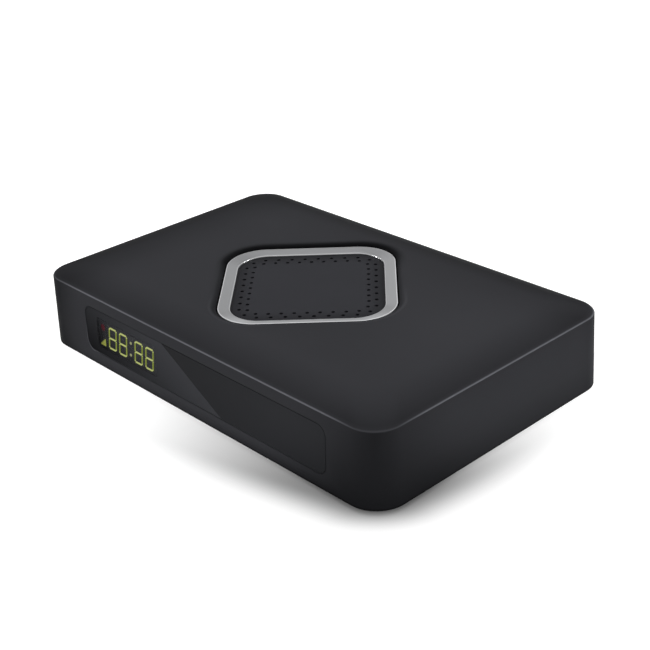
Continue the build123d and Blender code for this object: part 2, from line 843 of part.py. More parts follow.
# ---------------------------------------------------------------- aerial input and tuner
aerial_point = [(-aerial_x, aerial_z)]
nut_seat = rear.offset(washer_thickness)
nut_face = washer_thickness + nut_thickness
with BuildPart() as aerial_socket:
    post(rear.offset(nut_face), aerial_point, aerial_radius, aerial_length - nut_face)
    post(rear.offset(nut_face), aerial_point, aerial_shank_radius, -nut_face - rear_face + tuner_back)
    post(rear, aerial_point, aerial_bore, aerial_length, Mode.SUBTRACT)
finish(aerial_socket, "aerial_socket")

with BuildPart() as aerial_insulator:
    post(rear, aerial_point, aerial_bore, aerial_length - aerial_insulator_depth)
    post(rear, aerial_point, aerial_contact_bore, aerial_length, Mode.SUBTRACT)
finish(aerial_insulator, "aerial_insulator")

with BuildPart() as aerial_washer:
    post(rear, aerial_point, washer_radius, washer_thickness)
    post(
        rear, aerial_point, aerial_shank_radius + screw_clearance, washer_thickness, Mode.SUBTRACT
    )
finish(aerial_washer, "aerial_washer")

with BuildPart() as aerial_nut:
    with BuildSketch(nut_seat) as hexagon:
        with Locations(*aerial_point):
            RegularPolygon(nut_across / 2, 6, major_radius=False)
            Circle(aerial_shank_radius + screw_clearance, mode=Mode.SUBTRACT)
    extrude(hexagon.sketch, amount=nut_thickness)
finish(aerial_nut, "aerial_nut")

tuner_y = tuner_back - tuner_depth / 2
with BuildPart() as tuner_can:
    block(on_board, aerial_x, tuner_y, tuner_width, tuner_depth, tuner_height - tin)
    block(
        on_board, aerial_x, tuner_y, tuner_width - 2 * tin, tuner_depth - 2 * tin,
        tuner_height, Mode.SUBTRACT,
    )
finish(tuner_can, "tuner_can")

with BuildPart() as tuner_lid:
    block(
        on_board.offset(tuner_height - tin), aerial_x, tuner_y, tuner_width, tuner_depth, tin
    )
finish(tuner_lid, "tuner_lid")

# ---------------------------------------------------------------- plain rear sockets
socket_face = rear.offset(socket_stand_out)

with BuildPart() as av_jack:
    block(panel_back.offset(-board_back_gap), -av_x, av_z, av_width, av_height, -av_depth)
    post(
        panel_back.offset(-board_back_gap), [(-av_x, av_z)], av_nose_radius,
        board_back_gap + rear_panel_thickness + av_nose,
    )
    post(rear.offset(av_nose), [(-av_x, av_z)], av_bore_radius, -av_depth, Mode.SUBTRACT)
finish(av_jack, "av_jack")

hdmi_outline = [
    (-hdmi_width / 2, hdmi_height / 2),
    (-hdmi_width / 2, -hdmi_height / 2 + hdmi_corner),
    (-hdmi_width / 2 + hdmi_corner, -hdmi_height / 2),
    (hdmi_width / 2 - hdmi_corner, -hdmi_height / 2),
    (hdmi_width / 2, -hdmi_height / 2 + hdmi_corner),
    (hdmi_width / 2, hdmi_height / 2),
]
with BuildPart() as hdmi_shell:
    with BuildSketch(socket_face) as shell_outline:
        with Locations((-hdmi_x, hdmi_z)):
            Polygon(*hdmi_outline)
    extrude(shell_outline.sketch, amount=-hdmi_depth)
    with BuildSketch(socket_face) as shell_mouth:
        with Locations((-hdmi_x, hdmi_z)):
            Polygon(*hdmi_outline)
        offset(amount=-hdmi_wall, kind=Kind.INTERSECTION, mode=Mode.REPLACE)
    extrude(shell_mouth.sketch, amount=-hdmi_depth + hdmi_wall, mode=Mode.SUBTRACT)
finish(hdmi_shell, "hdmi_shell")

with BuildPart() as hdmi_tongue:
    block(
        socket_face.offset(-hdmi_depth + hdmi_wall), -hdmi_x, hdmi_z,
        hdmi_tongue_width, hdmi_tongue_thickness, hdmi_tongue_depth,
    )
finish(hdmi_tongue, "hdmi_tongue")

with BuildPart() as usb_shell:
    block(socket_face, -usb_x, usb_z, usb_width, usb_height, -usb_depth)
    block(
        socket_face, -usb_x, usb_z, usb_width - 2 * usb_wall, usb_height - 2 * usb_wall,
        -usb_depth + usb_wall, Mode.SUBTRACT,
    )
finish(usb_shell, "usb_shell")

with BuildPart() as usb_tongue:
    block(
        socket_face.offset(-usb_depth + usb_wall), -usb_x,
        usb_z + usb_height / 2 - usb_wall - usb_tongue_thickness,
        usb_tongue_width, usb_tongue_thickness, usb_tongue_depth,
    )
finish(usb_tongue, "usb_tongue")

lan_cavity_z = board_top + lan_cavity_foot + lan_cavity_height / 2
with BuildPart() as lan_socket:
    block(socket_face, -lan_x, lan_z, lan_width, lan_height, -lan_depth)
    block(
        socket_face, -lan_x, lan_cavity_z, lan_cavity_width, lan_cavity_height,
        -lan_cavity_depth, Mode.SUBTRACT,
    )
    block(
        socket_face, -lan_x, board_top + lan_cavity_foot - lan_latch_height / 2,
        lan_latch_width, lan_latch_height, -lan_cavity_depth, Mode.SUBTRACT,
    )
finish(lan_socket, "lan_socket")

lan_wire_points = [
    (-lan_x + (wire - (lan_wires - 1) / 2) * lan_contact_pitch,
     lan_cavity_z + lan_cavity_height / 2 - lan_contact_radius)
    for wire in range(lan_wires)
]
with BuildPart() as lan_contacts:
    post(
        socket_face.offset(-lan_cavity_depth), lan_wire_points, lan_contact_radius,
        lan_cavity_depth - socket_stand_out - rear_panel_thickness,
    )
finish(lan_contacts, "lan_contacts")

dc_bore_z = board_top + dc_height_above_board
with BuildPart() as dc_socket:
    block(socket_face, -dc_x, dc_z, dc_width, dc_height, -dc_depth)
    post(socket_face, [(-dc_x, dc_bore_z)], dc_bore_radius, -dc_bore_depth, Mode.SUBTRACT)
finish(dc_socket, "dc_socket")

with BuildPart() as dc_pin:
    post(
        socket_face.offset(-dc_bore_depth), [(-dc_x, dc_bore_z)], dc_pin_radius,
        dc_bore_depth - socket_stand_out,
    )
    fillet(dc_pin.edges().group_by(Axis.Y)[-1], radius=dc_pin_softening)
finish(dc_pin, "dc_pin")

# ---------------------------------------------------------------- optical output and its shutter
optical_cavity_top = optical_z + optical_cavity_height / 2
shutter_axis_z = optical_cavity_top - shutter_eye - shutter_side_gap
shutter_half = optical_cavity_width / 2 - shutter_side_gap
shutter_reach = shutter_axis_z - (optical_z - optical_cavity_height / 2) - shutter_side_gap
side_wall = (optical_width - optical_cavity_width) / 2
shutter_pin_reach = shutter_half + side_wall / 2 + shutter_side_gap
across = Plane(
    origin=(optical_x, case_y + rear_face + socket_stand_out - shutter_set_in, foot_height),
    x_dir=(0, 1, 0),
    z_dir=(1, 0, 0),
)
with BuildPart() as optical_socket:
    block(socket_face, -optical_x, optical_z, optical_width, optical_height, -optical_depth)
    block(
        socket_face, -optical_x, optical_z, optical_cavity_width, optical_cavity_height,
        -optical_cavity_depth, Mode.SUBTRACT,
    )
    post(
        across.offset(-shutter_pin_reach - shutter_fit), [(0, shutter_axis_z)],
        shutter_pin + shutter_fit, 2 * (shutter_pin_reach + shutter_fit), Mode.SUBTRACT,
    )
finish(optical_socket, "optical_socket")

with BuildPart() as optical_shutter:
    post(across.offset(-shutter_pin_reach), [(0, shutter_axis_z)], shutter_pin, 2 * shutter_pin_reach)
    post(across.offset(-shutter_half), [(0, shutter_axis_z)], shutter_eye, 2 * shutter_half)
    block(
        across.offset(-shutter_half), 0, shutter_axis_z - shutter_reach / 2,
        shutter_thickness, shutter_reach, 2 * shutter_half,
    )
finish(optical_shutter, "optical_shutter")

# ---------------------------------------------------------------- reset button
reset_body_face = rear_panel_thickness + reset_body_gap
reset_point = [(-reset_x, reset_z)]
with BuildPart() as reset_switch:
    block(
        rear.offset(-reset_body_face), -reset_x, board_top + reset_body_height / 2,
        reset_body, reset_body_height, -reset_body,
    )
    post(
        rear.offset(-reset_body_face), reset_point, reset_pin_radius + reset_fit,
        -reset_stem - reset_travel - reset_collar_gap, Mode.SUBTRACT,
    )
finish(reset_switch, "reset_switch")

with BuildPart() as reset_button:
    post(
        rear.offset(-reset_body_face - reset_stem), reset_point, reset_pin_radius,
        reset_body_face + reset_stem + reset_stand_out,
    )
    post(
        panel_back.offset(-reset_collar_gap), reset_point, reset_shoulder, -reset_collar,
    )
    fillet(reset_button.edges().group_by(Axis.Y)[-1], radius=reset_softening)
finish(reset_button, "reset_button")

# ---------------------------------------------------------------- mains switch with its rocker
pocket_width = switch_housing_width - 2 * switch_wall
rocker_half = pocket_width / 2 - rocker_gap
rocker_axis_y = rear_face - rocker_axis_in
rocker_plane = Plane(
    origin=(switch_x, case_y + rocker_axis_y, foot_height + switch_z),
    x_dir=(0, cos(radians(rocker_tilt)), sin(radians(rocker_tilt))),
    z_dir=(1, 0, 0),
)
with BuildPart() as switch_body:
    block(
        rear, -switch_x, switch_z, switch_bezel_width, switch_bezel_height, switch_bezel_thickness
    )
    fillet(switch_body.edges().group_by(Axis.Y)[-1], radius=switch_bezel_softening)
    block(
        rear, -switch_x, switch_z, switch_housing_width, switch_housing_height, -switch_depth
    )
    for side in (-1, 1):
        block(
            rear.offset(-switch_depth), -switch_x + side * switch_tab_step / 2, switch_z,
            switch_tab_width, switch_tab_height, -switch_tab_length,
        )
    block(
        rear.offset(switch_bezel_thickness), -switch_x, switch_z, pocket_width,
        2 * (rocker_radius + rocker_gap), -rocker_pocket - switch_bezel_thickness, Mode.SUBTRACT,
    )
    post(
        rocker_plane.offset(-rocker_half - rocker_gap - rocker_pin_length), [(0, 0)],
        rocker_pin + rocker_fit, 2 * (rocker_half + rocker_gap + rocker_pin_length), Mode.SUBTRACT,
    )
finish(switch_body, "switch_body")

crest = rocker_crest + rocker_axis_in
dip = rocker_dip + rocker_axis_in
crest_half = sqrt(rocker_radius**2 - crest**2)
with BuildPart() as power_rocker:
    with BuildSketch(rocker_plane.offset(-rocker_half)) as rocker_side:
        Circle(rocker_radius)
        Polygon(
            (crest, -rocker_radius), (crest, -crest_half), (dip, 0), (crest, crest_half),
            (crest, rocker_radius), (-rocker_keel, rocker_radius), (-rocker_keel, -rocker_radius),
            mode=Mode.INTERSECT,
        )
    extrude(rocker_side.sketch, amount=2 * rocker_half)
    pin_half = rocker_half + rocker_gap + rocker_pin_length - rocker_fit
    post(rocker_plane.offset(-pin_half), [(0, 0)], rocker_pin, 2 * pin_half)
finish(power_rocker, "power_rocker")

tab_end = rear_face - switch_depth - switch_tab_length
with BuildPart() as switch_leads:
    for side in (-1, 1):
        lead_x = switch_x + side * switch_tab_step / 2
        with BuildLine() as route:
            FilletPolyline(
                (lead_x, case_y + tab_end, foot_height + switch_z),
                (lead_x, case_y + lead_foot, foot_height + switch_z),
                (lead_x, case_y + lead_foot, foot_height + board_top),
                radius=lead_bend,
            )
        with BuildSketch(Plane(origin=route.line @ 0, z_dir=route.line % 0)) as lead_end:
            Circle(lead_radius)
        sweep(lead_end.sketch, path=route.line)
finish(switch_leads, "switch_leads")

# ---------------------------------------------------------------- parts on the main board
with BuildPart() as main_chip:
    block(on_board, chip_x, chip_y, chip_size, chip_size, chip_height)
finish(main_chip, "main_chip")

with BuildPart() as thermal_pad:
    block(on_board.offset(chip_height), chip_x, chip_y, chip_size, chip_size, pad_thickness)
finish(thermal_pad, "thermal_pad")

sink_foot = on_board.offset(chip_height + pad_thickness)
fin_step = (sink_size - sink_fin_thickness) / (sink_fins - 1)
with BuildPart() as heat_sink:
    block(sink_foot, chip_x, chip_y, sink_size, sink_size, sink_base)
    for fin in range(sink_fins):
        fin_x = chip_x + (fin - (sink_fins - 1) / 2) * fin_step
        block(sink_foot.offset(sink_base), fin_x, chip_y, sink_fin_thickness, sink_size,
              sink_height - sink_base)
finish(heat_sink, "heat_sink")

with BuildPart() as memory_chips:
    with BuildSketch(on_board) as memory:
        with Locations((memory_x, memory_y)):
            with GridLocations(memory_step_x, memory_step_y, 2, 2):
                Rectangle(memory_width, memory_length)
    extrude(memory.sketch, amount=memory_height)
finish(memory_chips, "memory_chips")

with BuildPart() as flash_chip:
    block(
        on_board, flash_x, board_front + flash_set_in, flash_width, flash_length, flash_height
    )
finish(flash_chip, "flash_chip")

demodulator_y = tuner_front - demodulator_gap - demodulator_size / 2
with BuildPart() as demodulator_chip:
    block(
        on_board, aerial_x - demodulator_offset, demodulator_y, demodulator_size,
        demodulator_size, demodulator_height,
    )
finish(demodulator_chip, "demodulator_chip")

capacitor_x = -board_width / 2 + capacitor_inset
capacitor_y = notch_front - capacitor_gap - capacitor_radius - capacitor_step / 2
capacitor_points = [
    (capacitor_x + x, capacitor_y + y) for x, y in corners(capacitor_step / 2, capacitor_step / 2)
]
with BuildPart() as capacitors:
    post(on_board, capacitor_points, capacitor_radius, capacitor_height)
    fillet(capacitors.edges().group_by(Axis.Z)[-1], radius=capacitor_groove)
finish(capacitors, "capacitors")

with BuildPart() as power_coils:
    with BuildSketch(on_board) as coil_feet:
        with Locations((-board_width / 2 + coil_inset, capacitor_y - coil_gap)):
            with GridLocations(coil_step, 0, coils, 1):
                RectangleRounded(coil_size, coil_size, coil_corner)
    extrude(coil_feet.sketch, amount=coil_height)
finish(power_coils, "power_coils")

lan_front = rear_face + socket_stand_out - lan_depth
transformer_y = lan_front - transformer_gap - transformer_length / 2
with BuildPart() as lan_transformer:
    block(
        on_board, lan_x - transformer_offset, transformer_y, transformer_width,
        transformer_length, transformer_height,
    )
finish(lan_transformer, "lan_transformer")

with BuildPart() as crystal:
    with BuildSketch(on_board) as crystal_foot:
        with Locations((crystal_x, board_front + crystal_set_in)):
            SlotOverall(crystal_width, crystal_length)
    extrude(crystal_foot.sketch, amount=crystal_height)
finish(crystal, "crystal")

# ---------------------------------------------------------------- ribbon between the boards
display_back_offset = display_board_face + display_board_thickness
ribbon_board_y = board_front + ribbon_set_in
with BuildPart() as ribbon_sockets:
    block(
        front.offset(-display_back_offset), ribbon_x, ribbon_z, ribbon_socket_width,
        ribbon_socket_depth, -ribbon_socket_height,
    )
    block(
        on_board, ribbon_x, ribbon_board_y, ribbon_socket_width, ribbon_socket_depth,
        ribbon_socket_height,
    )
finish(ribbon_sockets, "ribbon_sockets")

ribbon_start = front.offset(-display_back_offset - ribbon_socket_height - ribbon_lead)
ribbon_from = ribbon_start.from_local_coords((ribbon_x, ribbon_z, 0))
ribbon_to_z = foot_height + board_top + ribbon_socket_height + ribbon_lead
with BuildPart() as flat_cable:
    with BuildLine() as ribbon_route:
        FilletPolyline(
            ribbon_from,
            (ribbon_x, case_y + ribbon_board_y, ribbon_from.Z),
            (ribbon_x, case_y + ribbon_board_y, ribbon_to_z),
            radius=ribbon_bend,
        )
    ribbon_end = Plane(
        origin=ribbon_route.line @ 0, x_dir=(1, 0, 0), z_dir=ribbon_route.line % 0
    )
    with BuildSketch(ribbon_end) as ribbon_section:
        Rectangle(ribbon_width, ribbon_thickness)
    sweep(ribbon_section.sketch, path=ribbon_route.line)
finish(flat_cable, "flat_cable")
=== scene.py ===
from math import atan2, cos, pi, radians, sin, sqrt

import bmesh
import bpy
import numpy as np
from mathutils import Matrix, Vector


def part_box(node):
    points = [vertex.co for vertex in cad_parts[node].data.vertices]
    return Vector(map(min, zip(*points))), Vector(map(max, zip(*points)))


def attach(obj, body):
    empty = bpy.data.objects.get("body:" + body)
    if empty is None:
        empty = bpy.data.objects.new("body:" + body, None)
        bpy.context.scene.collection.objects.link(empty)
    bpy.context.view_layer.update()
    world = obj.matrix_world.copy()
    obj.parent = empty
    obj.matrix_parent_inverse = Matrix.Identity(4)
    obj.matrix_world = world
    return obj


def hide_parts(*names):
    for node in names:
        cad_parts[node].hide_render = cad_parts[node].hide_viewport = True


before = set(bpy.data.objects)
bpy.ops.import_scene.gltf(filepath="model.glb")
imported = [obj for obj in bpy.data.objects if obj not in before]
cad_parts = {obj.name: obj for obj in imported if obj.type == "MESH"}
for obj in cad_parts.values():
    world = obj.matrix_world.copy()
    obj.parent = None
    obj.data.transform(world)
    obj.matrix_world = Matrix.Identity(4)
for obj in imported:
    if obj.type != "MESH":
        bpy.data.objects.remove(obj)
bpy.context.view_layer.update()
mm = 0.001
print("frame loaded:", len(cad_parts), "nodes")

# The measures are in metres, and read from the frame where it gives them.
coverLow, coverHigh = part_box("top_cover")
ringLow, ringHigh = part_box("bezel_ring")

case = {
    "lean": 1.0 * mm,  # how far each wall stands out at its foot
    "rim": 27.6 * mm,  # height of the rim over the foot
    "corner": 10.5 * mm,
    "rise": 3.9 * mm,  # of the crowned roof
    "run": 14.872 * mm,  # over which it rises
    "softening": 0.7 * mm,  # radius along the rim
    "wall": 1.6 * mm,
    "cutHalf": 76.0 * mm,  # rear cut-out
    "cutTop": 22.4 * mm,
    "smooth": 25,  # degrees, up to which two faces shade as one
}
case["foot"] = coverLow.z
case["middle"] = (coverLow.y + coverHigh.y) / 2
case["halfX"] = (coverHigh.x - coverLow.x) / 2 - case["lean"]
case["halfY"] = (coverHigh.y - coverLow.y) / 2 - case["lean"]
case["top"] = coverHigh.z

opening = {
    "half": 32.15 * mm,
    "corner": 14.7 * mm,
    "roll": 2.5 * mm,  # radius of the rolled edge
    "seatHalf": 25.7 * mm,
    "seatCorner": 9.3 * mm,
}

ring = {
    "half": 32.05 * mm,
    "corner": 14.6 * mm,
    "band": 4.45 * mm,
    "innerCorner": 11.2 * mm,
    "fall": 1.0 * mm,
    "outerBevel": 0.32 * mm,
    "innerBevel": 0.3 * mm,
    "smooth": 30,
}

panel = {
    "x": 3.1 * mm,
    "z": 14.2 * mm,  # up the front wall
    "width": 130.4 * mm,
    "height": 17.8 * mm,
    "corner": 3.75 * mm,
    "pocket": 0.9 * mm,
    "edge": 0.18 * mm,  # softening round the pocket
    "windowX": -30.7 * mm,
    "windowWidth": 50.4 * mm,
    "windowHeight": 15.2 * mm,
    "windowCorner": 0.4 * mm,
}

# points along each stretch of a profile or loop
steps = {
    "corner": 15,
    "run": 84,  # of a wall, between its corners
    "rim": 8,
    "crown": 22,
    "roll": 10,
    "pocketEdge": 5,
    "panelCorner": 9,
    "ringTurn": 384,
    "ringBevel": 7,
    "ringBand": 6,
}
weld = 1e-7  # metres, within which two points are one


# Meshes are numpy grids of points.
def makePiece(name, points, faces, smooth=None):
    # vertices that meet are merged, and the faces are turned to point outwards
    mesh = bpy.data.meshes.new(name)
    mesh.from_pydata(points.tolist(), [], faces.tolist())
    work = bmesh.new()
    work.from_mesh(mesh)
    bmesh.ops.remove_doubles(work, verts=work.verts, dist=weld)
    bmesh.ops.dissolve_degenerate(work, edges=work.edges, dist=weld)
    bmesh.ops.recalc_face_normals(work, faces=work.faces)
    work.to_mesh(mesh)
    work.free()
    piece = bpy.data.objects.new(name, mesh)
    bpy.context.scene.collection.objects.link(piece)
    if smooth:
        # an edge stays sharp wherever two faces meet at more than the angle
        mesh.shade_smooth()
        mesh.set_sharp_from_angle(angle=radians(smooth))
    return piece


def loopQuads(rows, columns, first=0):
    # quads between closed loops that follow one another, each loop of so many columns
    row, column = np.meshgrid(np.arange(rows - 1), np.arange(columns), indexing="ij")
    after = (column + 1) % columns
    corners = (row * columns + column, row * columns + after)
    corners += ((row + 1) * columns + after, (row + 1) * columns + column)
    return np.stack(corners, axis=-1).reshape(-1, 4) + first


def rectangleLoop(halfX, halfY, corner, runs):
    # a rounded rectangle: each corner is an arc about its centre, and each straight run is
    # divided at the shares in runs, side by side: back, left, front, right
    sides = []
    for side in range(4):
        turn = side * pi / 2
        along = np.linspace(turn, turn + pi / 2, steps["corner"])
        signX = 1 if side in (0, 3) else -1
        signY = 1 if side in (0, 1) else -1
        centre = np.array([signX * (halfX - corner), signY * (halfY - corner)])
        arc = centre + corner * np.stack([np.cos(along), np.sin(along)], axis=1)
        nextX = -1 if side in (0, 1) else 1
        nextY = 1 if side in (3, 0) else -1
        heading = np.array([cos(turn + pi / 2), sin(turn + pi / 2)])
        nextCentre = np.array([nextX * (halfX - corner), nextY * (halfY - corner)])
        end = nextCentre + corner * heading
        share = np.asarray(runs[side])[:, None]
        sides += [arc, arc[-1] + (end - arc[-1]) * share]
    return np.concatenate(sides)


def diamondRadius(angle, half, corner):
    # distance from the middle to a rounded square turned by 45 degrees, along each angle:
    # to its flat side, or, past the side's end, to the circle of its corner
    local = angle % (pi / 2) - pi / 4
    flat = half / np.cos(local)
    centre = half - corner
    toCentre = centre * sqrt(2)
    off = pi / 4 - np.abs(local)
    reach = toCentre * np.cos(off) + np.sqrt(
        np.maximum(corner**2 - (toCentre * np.sin(off)) ** 2, 0)
    )
    return np.where(flat * np.abs(np.sin(local)) > centre, reach, flat)


def diamondLoop(angle, half, corner, height):
    reach = diamondRadius(angle, half, corner)
    x = reach * np.cos(angle)
    y = reach * np.sin(angle) + case["middle"]
    return np.stack([x, y, np.full(len(angle), height)], axis=1)


def arcBetween(corner, before, after, radius, count):
    # points of the fillet in a profile's corner, from the direction before to the one after
    before = np.array(before) / np.hypot(*before)
    after = np.array(after) / np.hypot(*after)
    half = np.arccos(np.clip(-before @ after, -1, 1)) / 2
    middle = (after - before) / np.hypot(*(after - before))
    centre = np.array(corner) + middle * radius / np.sin(half)
    start = np.array(corner) - before * radius / np.tan(half) - centre
    end = np.array(corner) + after * radius / np.tan(half) - centre
    share = np.linspace(0, 1, count)[:, None]
    sweep = pi - 2 * half
    way = np.sin((1 - share) * sweep) * start + np.sin(share * sweep) * end
    return centre + way / np.sin(sweep)


# The cover is loops from the foot of the walls up over the crown and down into the opening.
def backRun():
    # places along the back wall from 1 to -1, with one at each end of the cut-out
    cutEnd = case["cutHalf"] / (case["halfX"] - case["corner"])
    across = np.linspace(1, -1, steps["run"] + 2)[1:-1]
    for end in (cutEnd, -cutEnd):
        across[np.argmin(np.abs(across - end))] = end
    return across, cutEnd


def coverProfile():
    # how far in and how high each loop lies: the foot, the cut-out's top, the rim's arc, then
    # the crown, a parabola: height = rim + rise (1 - (1 - share of the run)^2)
    slope = 2 * case["rise"] / case["run"]
    wallWay = (case["lean"], case["rim"])
    rimArc = arcBetween((0, case["rim"]), wallWay, (1, slope), case["softening"], steps["rim"])
    share = np.linspace(rimArc[-1, 0] / case["run"], 1, steps["crown"])[1:]
    leanAt = case["lean"] * (1 - case["cutTop"] / case["rim"])
    inset = np.concatenate([[-case["lean"], -leanAt], rimArc[:, 0], case["run"] * share])
    crown = case["rim"] + case["rise"] * (1 - (1 - share) ** 2)
    height = np.concatenate([[0, case["cutTop"]], rimArc[:, 1], crown])
    return inset, height


def coverLoops(across):
    even = np.linspace(0, 1, steps["run"] + 2)[1:-1]
    runs = [(1 - across) / 2, even, even, even]
    loops = []
    for inset, up in zip(*coverProfile()):
        corner = case["corner"] + max(-inset, 0)
        flat = rectangleLoop(case["halfX"] - inset, case["halfY"] - inset, corner, runs)
        flat[:, 1] += case["middle"]
        loops.append(np.column_stack([flat, np.full(len(flat), case["foot"] + up)]))

    # flat roof, rolled edge, and the well down to the ring's seat
    last = loops[-1]
    angle = np.arctan2(last[:, 1] - case["middle"], last[:, 0])
    for turn in np.linspace(0, pi / 2, steps["roll"]):
        out = opening["roll"] * (1 - sin(turn))
        drop = opening["roll"] * (1 - cos(turn))
        size = (opening["half"] + out, opening["corner"] + out)
        loops.append(diamondLoop(angle, *size, case["top"] - drop))
    loops.append(diamondLoop(angle, opening["half"], opening["corner"], ringLow.z))
    loops.append(diamondLoop(angle, opening["seatHalf"], opening["seatCorner"], ringLow.z))
    return loops


def buildCover():
    across, cutEnd = backRun()
    loops = coverLoops(across)
    points = np.concatenate(loops)

    # the walls have no faces in the rear cut-out, nor along the front run of the pocket
    count = len(loops[0])
    faces = loopQuads(len(loops), count)
    row = faces[:, 0] // count
    column = faces[:, 0] % count
    frontStart = 3 * steps["corner"] + 2 * steps["run"] - 1
    front = (column >= frontStart) & (column <= frontStart + steps["run"]) & (row < 2)
    inCut = np.flatnonzero(np.abs(across) <= cutEnd) + steps["corner"]
    cut = (column >= inCut[0]) & (column < inCut[-1]) & (row == 0)
    faces = faces[~(front | cut)]

    # the pocket: the wall's run at foot and rim, then loops in towards the window
    run = np.arange(frontStart, frontStart + steps["run"] + 2)
    pocket = [
        np.concatenate([loops[0][run], loops[1][run[-1:]], loops[2][run][::-1], loops[1][run[:1]]])
    ]
    for turn in np.linspace(0, pi / 2, steps["pocketEdge"]):
        out = panel["edge"] * (1 - sin(turn))
        depth = panel["edge"] * (1 - cos(turn))
        pocket.append(panelLoop(out, depth))
    pocket.append(panelLoop(0, panel["pocket"]))
    pocket.append(windowLoop(panel["pocket"]))
    pocketFaces = loopQuads(len(pocket), len(pocket[0]), len(points))
    points = np.concatenate([points] + pocket)
    piece = makePiece("caseShell", points, np.concatenate([faces, pocketFaces]), case["smooth"])

    wall = piece.modifiers.new("wall", "SOLIDIFY")
    wall.thickness = case["wall"]
    wall.offset = -1
    wall.use_even_offset = False
    return piece


def wallPlace(x, up, depth):
    # a point on the front wall: up along its slope, and depth in from its face
    lean = atan2(case["lean"], case["rim"])
    y = case["middle"] - case["halfY"] - case["lean"] + up * sin(lean) + depth * cos(lean)
    z = case["foot"] + up * cos(lean) - depth * sin(lean)
    return np.stack([x, y, z], axis=1)


def halfOutline(width, height, corner, count):
    # the lower half of a rounded rectangle, left to right: a point on its side at an eighth of
    # the height below the middle, an arc, a run, an arc and the other side's point
    quarter = np.linspace(0, pi / 2, steps["panelCorner"])
    leftX = -width / 2 + corner - corner * np.cos(quarter)
    low = -height / 2 + corner - corner * np.sin(quarter)
    inner = width / 2 - corner
    middle = np.linspace(-inner, inner, count - 2 * steps["panelCorner"])[1:-1]
    x = np.concatenate([[-width / 2], leftX, middle, -leftX[::-1], [width / 2]])
    side = [-height / 8]
    up = np.concatenate([side, low, np.full(len(middle), -height / 2), low[::-1], side])
    return x, up


def outlineLoop(x0, width, height, corner, depth):
    # it has as many points as the wall's run has above and below the pocket
    x, up = halfOutline(width, height, corner, steps["run"] + 2)
    upperX, upperUp = halfOutline(width, height, corner, steps["run"] + 4)
    x = np.concatenate([x, upperX[::-1]])
    up = np.concatenate([up, -upperUp[::-1]])
    return wallPlace(x0 + x, panel["z"] + up, np.full(len(x), depth))


def panelLoop(out, depth):
    size = (panel["width"] + 2 * out, panel["height"] + 2 * out, panel["corner"] + out)
    return outlineLoop(panel["x"], *size, depth)


def windowLoop(depth):
    size = (panel["windowWidth"], panel["windowHeight"], panel["windowCorner"])
    return outlineLoop(panel["windowX"], *size, depth)


def buildRing():
    # a closed profile carried round the diamond
    angle = np.linspace(0, 2 * pi, steps["ringTurn"], endpoint=False)
    band = ring["band"]
    top = ringHigh.z
    low = ringLow.z
    slope = ring["fall"] / band
    bevelSteps = steps["ringBevel"]
    outer = arcBetween((0, top), (0, 1), (1, -slope), ring["outerBevel"], bevelSteps)
    innerTop = (band, top - ring["fall"])
    inner = arcBetween(innerTop, (1, -slope), (0, -1), ring["innerBevel"], bevelSteps)
    middle = np.linspace(outer[-1], inner[0], steps["ringBand"])[1:-1]
    profile = np.concatenate([[[0, low]], outer, middle, inner, [[band, low]], [[0, low]]])
    loops = []
    for step, up in profile:
        corner = ring["corner"] + (ring["innerCorner"] - ring["corner"]) * step / band
        loops.append(diamondLoop(angle, ring["half"] - step, corner, up))
    faces = loopQuads(len(loops), len(angle))
    return makePiece("bezelRing", np.concatenate(loops), faces, ring["smooth"])


coverPiece = buildCover()
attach(coverPiece, "case")
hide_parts("top_cover")
ringPiece = buildRing()
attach(ringPiece, "case")
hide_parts("bezel_ring")
print("cover and ring built")


# Shaders: arithmetic on sockets adds Math nodes.
class Wire:
    def __init__(self, paint, socket):
        self.paint = paint
        self.socket = socket

    def maths(self, operation, left, right=0.0):
        return self.paint.add("Math", {0: left, 1: right}, operation=operation)

    def __add__(self, other):
        return self.maths("ADD", self, other)

    def __radd__(self, other):
        return self.maths("ADD", other, self)

    def __sub__(self, other):
        return self.maths("SUBTRACT", self, other)

    def __rsub__(self, other):
        return self.maths("SUBTRACT", other, self)

    def __mul__(self, other):
        return self.maths("MULTIPLY", self, other)

    def __rmul__(self, other):
        return self.maths("MULTIPLY", other, self)

    def __truediv__(self, other):
        return self.maths("DIVIDE", self, other)

    def __pow__(self, other):
        return self.maths("POWER", self, other)

    def __neg__(self):
        return -1.0 * self

    def __abs__(self):
        return self.maths("ABSOLUTE", self)

    def least(self, other):
        return self.maths("MINIMUM", self, other)

    def most(self, other):
        return self.maths("MAXIMUM", self, other)

    def over(self, low, high):
        # 0 below low, 1 above high, with a soft step between
        sockets = {"Value": self, "From Min": low, "From Max": high}
        return self.paint.add("MapRange", sockets, interpolation_type="SMOOTHSTEP")

    def under(self, low, high):
        return 1.0 - self.over(low, high)

    def between(self, low, high):
        # spreads 0 to 1 over low to high
        return low + (high - low) * self


def length(first, second):
    return (first * first + second * second) ** 0.5


